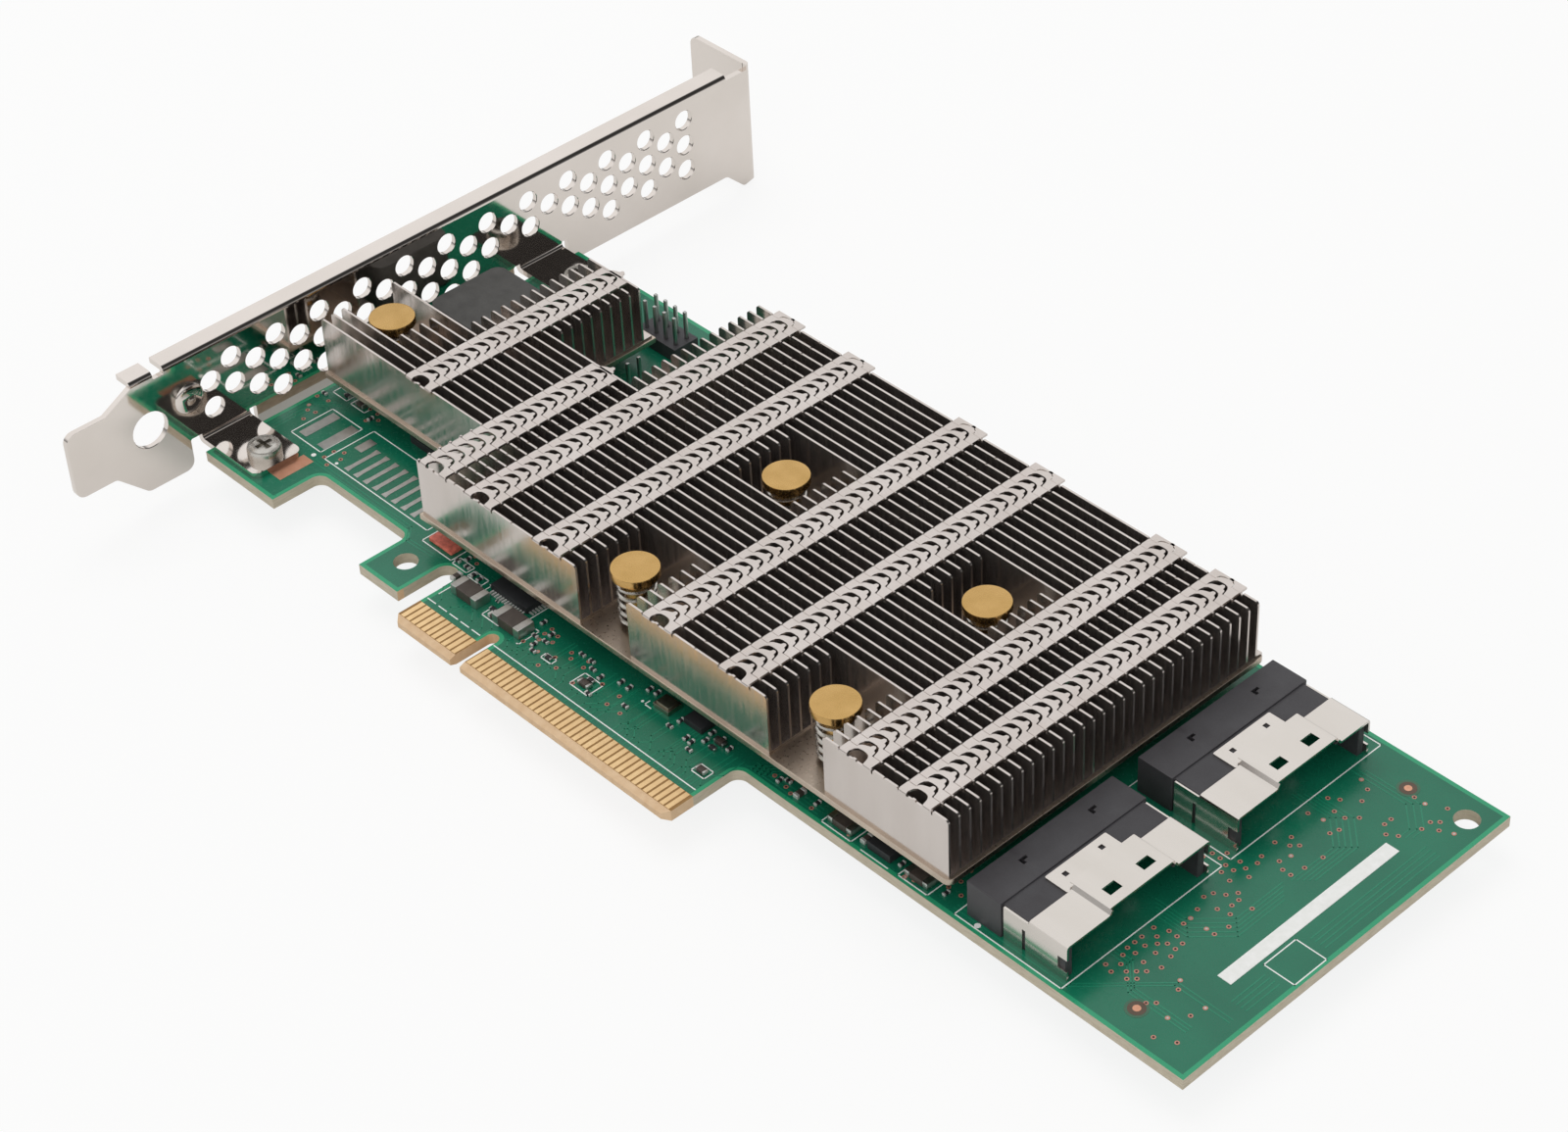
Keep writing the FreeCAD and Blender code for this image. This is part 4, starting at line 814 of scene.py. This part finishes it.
port = {
    "middles": (25.3, 53.9), "tip": 91.5, "rearEnd": 81.5, "high": 5.3, "floor": 0.4, "edge": 0.12,
    "sheet": 0.3, "notches": ((78.0, -5.7), (78.0, 5.8)), "notchDeep": 0.7, "sideStart": 81.7,
    "notchSteps": ((0.95, 0, 0.5), (0.45, 0.501, 1.2)),
    "railTop": 4.85, "wingStart": 85.6, "wingCut": (0.2, 0.1), "plateStart": 85.0, "plateTip": 91.2,
    "slot": (84.6, 85.1, 3.4), "fork": (90.1, 1.4, 3.2), "shellEdge": 0.05,
    # the shell's outline across the card, up from the board and down again; the plate sits off centre
    "leftFold": [(-11.9, 0), (-11.9, 4.9), (-11.78, 5.18), (-11.5, 5.3), (-5.15, 5.3), (-4.9, 5.38),
                 (-4.55, 5.92), (-4.3, 6.0)],
    "rightFold": [(5.9, 6.0), (6.15, 5.92), (6.5, 5.38), (6.75, 5.3), (11.5, 5.3), (11.78, 5.18),
                  (11.9, 4.9), (11.9, 0)],
    "windows": (88.4, 89.8, (-2.0, 3.6), 2.0), "strap": (82.0, 85.6, -5.55, 4.55, 5.3),
    "strapHoles": (83.0, (-3.5, 2.5), 0.7), "strapTurn": 0.2,
}


def sinkNotch(bm, corners, level, deep):
    # a pocket pressed into one flat face
    left, right, front, rear = corners

    def flat():
        return [one for one in bm.faces
                if one.normal.z > 0.9 and abs(one.calc_center_median().z - level) < 0.01
                and one.calc_center_median().x < port["rearEnd"]]

    for spot, lean in (((left, 0, 0), (1, 0, 0)), ((right, 0, 0), (1, 0, 0)),
                       ((0, front, 0), (0, 1, 0)), ((0, rear, 0), (0, 1, 0))):
        faces = flat()
        edges = {edge for one in faces for edge in one.edges}
        verts = {vert for one in faces for vert in one.verts}
        bmesh.ops.bisect_plane(bm, geom=[*faces, *edges, *verts], dist=0.0001, plane_co=spot, plane_no=lean)
    inside = [one for one in flat() if left < one.calc_center_median().x < right
              and front < one.calc_center_median().y < rear]
    sunk = bmesh.ops.extrude_face_region(bm, geom=inside)
    bmesh.ops.delete(bm, geom=inside, context="FACES_ONLY")
    moved = [one for one in sunk["geom"] if isinstance(one, bmesh.types.BMVert)]
    bmesh.ops.translate(bm, verts=moved, vec=(0, 0, -deep))


def makeHousing(label, middle):
    bm = copyNode("cable_port_%d_housing" % label)
    # the tray has no floor of its own: the board shows through
    for vert in bm.verts:
        if abs(vert.co.z - port["floor"]) < 0.01:
            vert.co.z = 0
    bmesh.ops.remove_doubles(bm, verts=bm.verts, dist=0.001)
    bmesh.ops.delete(bm, geom=[one for one in bm.faces if max(vert.co.z for vert in one.verts) < 0.001],
                     context="FACES")
    softenEdges(bm, port["edge"])
    bm.normal_update()
    for x, shift in port["notches"]:
        y = middle + shift
        for run, near, far in port["notchSteps"]:
            sinkNotch(bm, (x, x + run, y + near, y + far), port["high"], port["notchDeep"])
    return addPiece("port_%d_housing" % label, bm, ["portMoulding"], ["cable_port_%d_housing" % label],
                    outward=False)


def makeShell(label, middle):
    spec = port
    path = spec["leftFold"] + spec["rightFold"]
    along = [0]
    for start, end in zip(path, path[1:]):
        along.append(along[-1] + math.dist(start, end))
    total = along[-1]
    plateLow, plateHigh = along[6], along[9]
    slotIn, slotOut, slotTop = spec["slot"]
    forkIn, forkLow, forkHigh = spec["fork"]
    tip, rail = spec["tip"], spec["railTop"]
    outline = [(spec["sideStart"], 0), (slotIn, 0), (slotIn, slotTop), (slotOut, slotTop), (slotOut, 0),
               (tip, 0), (tip, forkLow), (forkIn, forkLow), (forkIn, forkHigh), (tip, forkHigh),
               (tip, plateLow), (spec["plateTip"], plateLow), (spec["plateTip"], plateHigh), (tip, plateHigh)]
    # the far side mirrors the near side
    outline += [(x, total - s) for x, s in reversed(outline[:10])]
    wing = spec["wingStart"]
    run, rise = spec["wingCut"]
    outline += [(spec["sideStart"], total - rail), (wing - run, total - rail), (wing, total - rail - rise),
                (wing, plateHigh), (spec["plateStart"], plateHigh), (spec["plateStart"], plateLow),
                (wing, plateLow), (wing, rail + rise), (wing - run, rail), (spec["sideStart"], rail)]
    windowIn, windowOut, spots, wide = spec["windows"]
    lows = [along[7] - path[7][0] + y - wide / 2 for y in spots]
    holes = [rectangle(windowIn, windowOut, low, low + wide) for low in lows]
    bm = bmesh.new()
    fillSheet(bm, outline, holes)
    for crease in along[1:-1]:
        cutAcross(bm, (0, crease, 0), (0, 1, 0))
    for vert in bm.verts:
        # each point of the flat sheet takes its place along the fold
        spot = min(max(vert.co.y, 0), total)
        stretch = max(place for place, start in enumerate(along[:-1]) if start <= spot + 0.00001)
        share = (spot - along[stretch]) / (along[stretch + 1] - along[stretch])
        y = path[stretch][0] + (path[stretch + 1][0] - path[stretch][0]) * share
        z = path[stretch][1] + (path[stretch + 1][1] - path[stretch][1]) * share
        vert.co = (vert.co.x, middle + y, z)
    bm.normal_update()
    top = max(bm.faces, key=lambda one: one.calc_center_median().z)
    if top.normal.z < 0:
        bmesh.ops.reverse_faces(bm, faces=bm.faces)
    bm.normal_update()
    bmesh.ops.solidify(bm, geom=bm.faces[:], thickness=spec["sheet"])
    bmesh.ops.recalc_face_normals(bm, faces=bm.faces)
    # the strap runs under the plate's rear edge
    left, right, front, rear, level = spec["strap"]
    x, spots, wide = spec["strapHoles"]
    holes = [rectangle(x, x + wide, middle + y - wide / 2, middle + y + wide / 2) for y in spots]
    rim = roundCorners(rectangle(left, right, middle + front, middle + rear), spec["strapTurn"])
    before = len(bm.faces)
    strap = fillSheet(bm, rim, holes, lambda u, v: (u, v, level))
    thicken(bm, strap, (0, 0, -spec["sheet"]))
    bmesh.ops.recalc_face_normals(bm, faces=bm.faces[before:])
    softenEdges(bm, spec["shellEdge"], 1, 50)
    return addPiece("port_%d_shell" % label, bm, ["shellSteel"], ["cable_port_%d_shell" % label])


for label, middle in enumerate(port["middles"], 1):
    makeHousing(label, middle)
    makeShell(label, middle)
print("cable ports made")


# headers and chips keep their own shapes, with their edges softened

softEdges = {
    "header_bases": 0.15, "header_pins": 0.12, "power_inductor": 0.45, "chip_capacitors": 0.12,
    "chip_resistors": 0.05, "chip_terminals": 0.12, "small_chips": 0.08, "interface_chip": 0.06,
    "fuse_array": 0.12, "clock_crystal": 0.06, "controller_chip": 0.1, "memory_chips": 0.08,
}
for node, width in softEdges.items():
    dressNode(node, width)
print("headers and chips dressed")


# small parts too fine for the solids: the interface chip's leads, and tiny two-ended parts

tiny = {
    # the middle and side of the chip, and its leads on each side
    "chipAt": (-3.95, 15.5), "chipSide": 7.0, "leads": 13, "pitch": 0.5, "leadWidth": 0.28, "leadReach": 0.85,
    "leadRise": 0.22, "tucked": 0.1, "edge": 0.04, "length": 1.0, "bodyInset": 0.02, "large": 1.2,
    # x, y, turn in degrees, and length where it isn't the usual one
    "parts": [(-14.9, 12.6, 0), (-13.0, 12.6, 0), (-11.2, 12.2, 90), (-10.0, 12.2, 90), (-9.0, 11.2, 0),
              (-12.4, 10.4, 90, 1.6), (-14.2, 13.7, 90), (2.4, 12.4, 90), (3.6, 10.0, 0),
              (-2.9, 8.75, 0, 1.6), (17.9, 11.8, 90), (19.4, 11.8, 90), (33.2, 11.9, 90),
              (36.4, 12.9, 90), (21.6, 9.2, 0), (10.6, 11.8, 0), (12.4, 11.8, 0), (28.2, 10.6, 0),
              (50.8, 13.8, 90), (59.4, 13.6, 90, 1.6), (72.2, 13.8, 90), (65.2, 13.6, 90),
              (45.6, 14.0, 0), (-54.9, 26.4, 90), (-51.6, 26.6, 0), (-56.0, 22.6, 0), (-46.9, 23.4, 90),
              (4.9, 11.6, 90), (5.4, 10.2, 0), (4.7, 8.9, 90), (5.6, 8.0, 0), (13.6, 10.9, 0),
              (15.4, 10.6, 90), (16.6, 7.6, 0), (21.4, 13.4, 90), (22.6, 13.6, 90), (28.4, 12.2, 90),
              (31.2, 10.6, 90), (32.2, 10.5, 90), (33.0, 9.4, 0), (32.8, 13.4, 90), (34.6, 13.4, 90),
              (44.7, 13.4, 90), (48.2, 13.4, 90, 1.6), (-7.4, 11.0, 0, 0.6), (-5.0, 11.0, 0, 0.6)],
}


def makeTiny():
    spec = tiny
    bm = bmesh.new()
    x, y = spec["chipAt"]
    half, reach, rise = spec["leadWidth"] / 2, spec["leadReach"] / 2, spec["leadRise"]
    for place in range(spec["leads"]):
        along = (place - (spec["leads"] - 1) / 2) * spec["pitch"]
        for side in (-1, 1):
            out = side * (spec["chipSide"] / 2 + reach - spec["tucked"])
            addBox(bm, (x + along - half, y + out - reach, 0), (x + along + half, y + out + reach, rise))
            addBox(bm, (x + out - reach, y + along - half, 0), (x + out + reach, y + along + half, rise))
    for x, y, lean, *given in spec["parts"]:
        long = given[0] if given else spec["length"]
        wide = long / 2
        rise = wide * 0.75
        before = len(bm.verts)
        addBox(bm, (-long / 2, -wide / 2, 0), (-long / 4, wide / 2, rise))
        addBox(bm, (long / 4, -wide / 2, 0), (long / 2, wide / 2, rise))
        # the body lies a little inside its ends; it is ceramic in the large ones, and black in the others
        inset = spec["bodyInset"]
        addBox(bm, (-long / 4, -wide / 2 + inset, 0), (long / 4, wide / 2 - inset, rise - inset),
               1 if long > spec["large"] else 2)
        bm.verts.ensure_lookup_table()
        fresh = bm.verts[before:]
        bmesh.ops.rotate(bm, verts=fresh, cent=(0, 0, 0), matrix=Matrix.Rotation(math.radians(lean), 3, "Z"))
        bmesh.ops.translate(bm, verts=fresh, vec=(x, y, 0))
    softenEdges(bm, spec["edge"], 1, 60)
    return addPiece("tiny_parts", bm, ["leadTin", "brownCeramic", "chipEpoxy"], outward=False)


makeTiny()
print("small parts placed")


# fin stack: each row is upright sheet with a foot, and tabs that are cut flat and folded over

fins = {
    "count": 32, "front": 12.6, "pitch": 1.7, "sheet": 0.3, "foot": 4.4, "top": 13.3, "fold": 0.42,
    "foldSteps": 3, "tabWidth": 5.1, "rearTab": 1.3, "rearMouth": 0.6, "seam": 0.05, "footSeam": 0.02,
    "footSheet": 0.3, "endRound": 0.5, "dip": 0.5, "dipRun": 0.3, "dipGap": 0.02, "shortest": 0.5,
    # across the tab and back from its fold: the arched mouth, left to right
    "mouth": [(-1.3, 0), (-1.36, 0.5), (-1.2, 1.15), (-0.85, 1.5), (-0.3, 1.6), (0.35, 1.6), (0.82, 1.45),
              (1.12, 1.05), (1.28, 0.5), (1.33, 0)],
    # and past the tab's end: the tongue that fills the next row's mouth, right to left
    "tongue": [(1.2, 0), (1.12, 0.5), (0.98, 0.7), (0.7, 0.8), (0.62, 1.25), (0.38, 1.44), (0.08, 1.36),
               (-0.06, 0.98), (-0.5, 0.82), (-0.95, 0.62), (-1.2, 0.38), (-1.24, 0)],
    # the small step that stands up between a tab and its row: along it, and up from where the tab folds
    "step": [(-1.15, 0), (-0.45, 0), (-0.35, 0.22), (0.15, 0.22), (0.25, 0), (1.15, 0)],
    # right of a tab, along and up from the top: a stub, a notch, and then the edge
    "stub": [(0, -0.12), (0.14, -0.12), (0.16, -0.6), (0.4, -0.6), (0.42, -0.1), (0.52, 0)],
    # and the kink half way along the narrow gaps
    "kink": [(-0.12, 0), (-0.06, -0.14), (0.1, -0.14), (0.16, -0.02)],
    # each strip of tabs: its middle, and its first and last row
    "strips": {"block": (-33.8, 6, 25), "edge": (-18.1, 0, 16), "one": (-9.1, 0, 31), "two": (4.2, 0, 31),
               "three": (24.7, 0, 31), "four": (38.3, 0, 31), "five": (58.8, 0, 31), "six": (68.45, 0, 31)},
    "narrowGaps": ("edge", "one", "three", "five"),
    # where the rows start, each up to a last row, and where they all end
    "starts": ((5, -21.2), (8, -54.5), (12, -44.25), (13, -54.5), (26, -39.6), (31, -14.8)), "right": 73.9,
    # the row whose foot starts further in than its fin
    "shortFoot": {8: -44.25},
    # first and last row of a gap, and its two sides: beside the two-pin header, and round the spring pins
    "gaps": ((18, 26, -29.0, -14.8), (0, 6, 9.75, 19.2), (0, 6, 44.0, 53.5), (16, 21, 9.75, 19.2),
             (16, 21, 44.0, 53.5)),
}


def finSpans(row):
    # the stretches of sheet in one row, left to right
    left = next(start for last, start in fins["starts"] if row <= last)
    spans = []
    for first, last, gapLeft, gapRight in fins["gaps"]:
        if first <= row <= last:
            spans.append((left, gapLeft))
            left = gapRight
    return spans + [(left, fins["right"])]


def makeTab(end, tongue, mouthShare=1):
    # one tab: an arched mouth at the fold, a tongue at the far end, cut flat and then folded over
    half = fins["tabWidth"] / 2
    laid = fins["fold"] * (math.pi / 2 - 1)  # what the fold takes up
    reach = end + laid
    outline = [(-half, 0)]
    outline += [(across, back * mouthShare + laid * (back > 0)) for across, back in fins["mouth"]]
    outline += [(half, 0), (half, reach)]
    if tongue:
        outline += [(across, reach + back) for across, back in fins["tongue"]]
    outline += [(-half, reach)]
    bend = fins["fold"]
    foldAt = fins["top"] - bend
    arc = bend * math.pi / 2
    bm = bmesh.new()
    fillSheet(bm, outline, (), lambda u, v: (u, 0, foldAt + v))
    for step in range(fins["foldSteps"] + 1):
        cutAcross(bm, (0, 0, foldAt + arc * step / fins["foldSteps"]), (0, 0, 1))
    for vert in bm.verts:
        along = vert.co.z - foldAt
        if along > arc:
            vert.co = (vert.co.x, bend + along - arc, fins["top"])
        elif along > 0:
            turn = along / bend
            vert.co = (vert.co.x, bend * (1 - math.cos(turn)), foldAt + bend * math.sin(turn))
    under = bmesh.ops.extrude_face_region(bm, geom=bm.faces[:], use_keep_orig=True)
    for vert in [one for one in under["geom"] if isinstance(one, bmesh.types.BMVert)]:
        # the underside lies one sheet inside the fold
        if vert.co.y < bend:
            spoke = Vector((0, bend - vert.co.y, foldAt - vert.co.z)).normalized()
            vert.co += spoke * fins["sheet"]
        else:
            vert.co.z -= fins["sheet"]
    bmesh.ops.recalc_face_normals(bm, faces=bm.faces)
    mesh = bpy.data.meshes.new("tab")
    bm.to_mesh(mesh)
    bm.free()
    return mesh


midTab = makeTab(fins["pitch"] - fins["seam"], True)
lastTab = makeTab(fins["rearTab"], False, fins["rearMouth"])


def topEdge(left, right, inside):
    # the top of one stretch of a row, left to right, cut down where its tabs fold
    top, foot, half = fins["top"], fins["foot"], fins["tabWidth"] / 2
    foldAt = top - fins["fold"]
    edge = []
    mark, before = left, None
    for name, at in inside + [("end", right + half)]:
        # from the last strip's right side to this strip's left side
        stop = at - half
        if stop - mark > fins["shortest"]:
            if before:
                edge += [(mark + u, top + v) for u, v in fins["stub"]]
                if before in fins["narrowGaps"] and name != "end":
                    edge += [((mark + stop) / 2 + u, top + v) for u, v in fins["kink"]]
            else:
                edge += roundCorners([(mark, foot, 0), (mark, top, fins["endRound"]), (stop, top, 0)],
                                     0, 3)[1:-1]
            if name == "end":
                edge += roundCorners([(mark, top, 0), (right, top, fins["endRound"]), (right, foot, 0)],
                                     0, 3)[1:-1]
            else:
                # a rounded dip into the tab's left side
                for step in range(4):
                    turn = math.pi / 2 * step / 3
                    edge.append((stop - fins["dipGap"] - fins["dipRun"] * (1 - math.sin(turn)),
                                 top - fins["dip"] * (1 - math.cos(turn))))
        if name != "end":
            edge += [(stop, foldAt)] + [(at + u, foldAt + v) for u, v in fins["step"]] + [(at + half, foldAt)]
            mark, before = at + half, name
    return edge


def makeFin(row):
    front = fins["front"] + row * fins["pitch"]
    rearmost = row == fins["count"] - 1
    bm = bmesh.new()
    strips = [(name, at) for name, (at, first, last) in fins["strips"].items() if first <= row <= last]
    for left, right in finSpans(row):
        inside = [(name, at) for name, at in strips if left < at < right]
        outline = [(left, fins["foot"]), (right, fins["foot"]), *reversed(topEdge(left, right, inside))]
        face = bm.faces.new([bm.verts.new((x, front, z)) for x, z in outline])
        thicken(bm, [face], (0, fins["sheet"], 0))
        # the foot soldered to the plate
        reach = fins["rearTab"] if rearmost else fins["pitch"]
        addBox(bm, (fins["shortFoot"].get(row, left), front + fins["sheet"], fins["foot"]),
               (right, front + reach - fins["footSeam"], fins["foot"] + fins["footSheet"]))
        for name, at in inside:
            before = len(bm.verts)
            bm.from_mesh(lastTab if rearmost else midTab)
            bm.verts.ensure_lookup_table()
            bmesh.ops.translate(bm, verts=bm.verts[before:], vec=(at, front, 0))
    return addPiece("fin_row_%02d" % (row + 1), bm, ["finSatin"], ["fin_%02d" % (row + 1)])


for row in range(fins["count"]):
    makeFin(row)
print("fin rows made:", fins["count"])


# stage, light and camera

studio = {
    "cameraAt": (275.55, -185.81, 284.97), "right": (0.7072, 0.7069, -0.0132),
    "down": (0.4374, -0.4521, -0.7774), "ahead": (-0.5555, 0.5440, -0.6289), "lens": 80.37, "sensor": 36,
    "shift": (-0.0976, -0.0267), "floorSide": 3.0, "floorGap": 0.0002, "floorTone": "F2F2F0",
    "floorShown": 0.85, "floorMirror": 0.3, "ambient": 0.55,
    # place, side and power of each lamp, in metres and watts
    "lamps": {"keySoftbox": ((-0.25, 0.15, 0.75), 0.6, 2.2), "fillSoftbox": ((0.45, -0.55, 0.5), 0.7, 1.2)},
    # a dark panel to the rear right, seen in polished metal
    "panelAt": (0.5555, 0.544, 0.629), "panelEdge": (0.74, 0.94), "panelTone": 0.04,
    # and the room grows darker towards its floor
    "skirting": (0.05, 0.45), "skirtingTone": 0.3,
}


def seenBy(tree):
    # the camera's own rays, and those that come off or through the piece
    path = addNode(tree, "ShaderNodeLightPath")
    mirrored = addNode(tree, "ShaderNodeMath", {"operation": "MAXIMUM"},
                       {0: path.outputs["Is Glossy Ray"], 1: path.outputs["Is Transmission Ray"]})
    return path.outputs["Is Camera Ray"], mirrored.outputs[0]


def makeFloorFinish():
    # a pale diffuse floor that takes the shadow; the camera sees most of it as plain white
    material, tree = newTree("paleFloor")
    direct, mirrored = seenBy(tree)
    dimmer = addNode(tree, "ShaderNodeMath", {"operation": "MULTIPLY", 1: studio["floorMirror"]},
                     {0: mirrored})
    share = addNode(tree, "ShaderNodeMath", {"operation": "MULTIPLY_ADD", 1: studio["floorShown"]},
                    {0: direct, 2: dimmer.outputs[0]})
    flat = addNode(tree, "ShaderNodeBsdfDiffuse", {"Color": linear(studio["floorTone"])})
    white = addNode(tree, "ShaderNodeEmission", {"Color": (1, 1, 1, 1), "Strength": 1})
    mix = addNode(tree, "ShaderNodeMixShader",
                  links={0: share.outputs[0], 1: flat.outputs[0], 2: white.outputs[0]})
    addNode(tree, "ShaderNodeOutputMaterial", links={"Surface": mix.outputs[0]})
    return material


def makeFloor(middle, level):
    bm = bmesh.new()
    bmesh.ops.create_grid(bm, x_segments=1, y_segments=1, size=studio["floorSide"] / 2)
    bmesh.ops.translate(bm, verts=bm.verts, vec=(middle.x, middle.y, level))
    mesh = bpy.data.meshes.new("floor")
    bm.to_mesh(mesh)
    bm.free()
    mesh.materials.append(makeFloorFinish())
    floor = bpy.data.objects.new("floor", mesh)
    bpy.context.scene.collection.objects.link(floor)


def makeRoom():
    # white to the camera, a plain soft light on the card, and shaded sides in what the metal mirrors
    world = bpy.data.worlds.new("studioWorld")
    bpy.context.scene.world = world
    world.use_nodes = True
    tree = world.node_tree
    tree.nodes.clear()
    direct, mirrored = seenBy(tree)
    way = addNode(tree, "ShaderNodeTexCoord").outputs["Generated"]
    facing = addNode(tree, "ShaderNodeVectorMath", {"operation": "DOT_PRODUCT", 1: studio["panelAt"]},
                     {0: way})
    low, high = studio["panelEdge"]
    panel = addNode(tree, "ShaderNodeMapRange",
                    {"interpolation_type": "SMOOTHSTEP", "From Min": low, "From Max": high, "To Min": 1,
                     "To Max": studio["panelTone"]}, {"Value": facing.outputs["Value"]})
    height = addNode(tree, "ShaderNodeSeparateXYZ", {}, {"Vector": way})
    low, high = studio["skirting"]
    skirting = addNode(tree, "ShaderNodeMapRange",
                       {"interpolation_type": "SMOOTHSTEP", "From Min": low, "From Max": high,
                        "To Min": studio["skirtingTone"], "To Max": 1}, {"Value": height.outputs["Z"]})
    shade = addNode(tree, "ShaderNodeMath", {"operation": "MULTIPLY"},
                    {0: panel.outputs[0], 1: skirting.outputs[0]})
    white = {"Color": (1, 1, 1, 1)}
    soft = addNode(tree, "ShaderNodeBackground", {**white, "Strength": studio["ambient"]})
    room = addNode(tree, "ShaderNodeBackground", white, {"Strength": shade.outputs[0]})
    plain = addNode(tree, "ShaderNodeBackground", {**white, "Strength": 1})
    inner = addNode(tree, "ShaderNodeMixShader", links={0: mirrored, 1: soft.outputs[0], 2: room.outputs[0]})
    outer = addNode(tree, "ShaderNodeMixShader", links={0: direct, 1: inner.outputs[0], 2: plain.outputs[0]})
    addNode(tree, "ShaderNodeOutputWorld", links={"Surface": outer.outputs[0]})


def addLamp(name, at, aim, side, power):
    lamp = bpy.data.lights.new(name, "AREA")
    lamp.shape = "SQUARE"
    lamp.size = side
    lamp.energy = power
    holder = bpy.data.objects.new(name, lamp)
    holder.location = at
    holder.visible_glossy = False
    holder.rotation_euler = (Vector(aim) - Vector(at)).to_track_quat("-Z", "Y").to_euler()
    bpy.context.scene.collection.objects.link(holder)


def addCamera():
    camera = bpy.data.objects.new("camera", bpy.data.cameras.new("camera"))
    camera.data.lens = studio["lens"]
    camera.data.sensor_width = studio["sensor"]
    camera.data.shift_x, camera.data.shift_y = studio["shift"]
    camera.data.clip_start = 0.01
    columns = (Vector(studio["right"]), -Vector(studio["down"]), -Vector(studio["ahead"]))
    turn = Matrix(columns).transposed().to_4x4()
    camera.matrix_world = Matrix.Translation(Vector(studio["cameraAt"]) * mm) @ turn
    bpy.context.scene.collection.objects.link(camera)
    bpy.context.scene.camera = camera


low, high = cadBox
middle = (low + high) / 2
makeFloor(middle, low.z - studio["floorGap"])
makeRoom()
for name, (at, side, power) in studio["lamps"].items():
    addLamp(name, at, middle, side, power)
addCamera()
bpy.context.scene.view_settings.view_transform = "Standard"
print("stage, light and camera set")
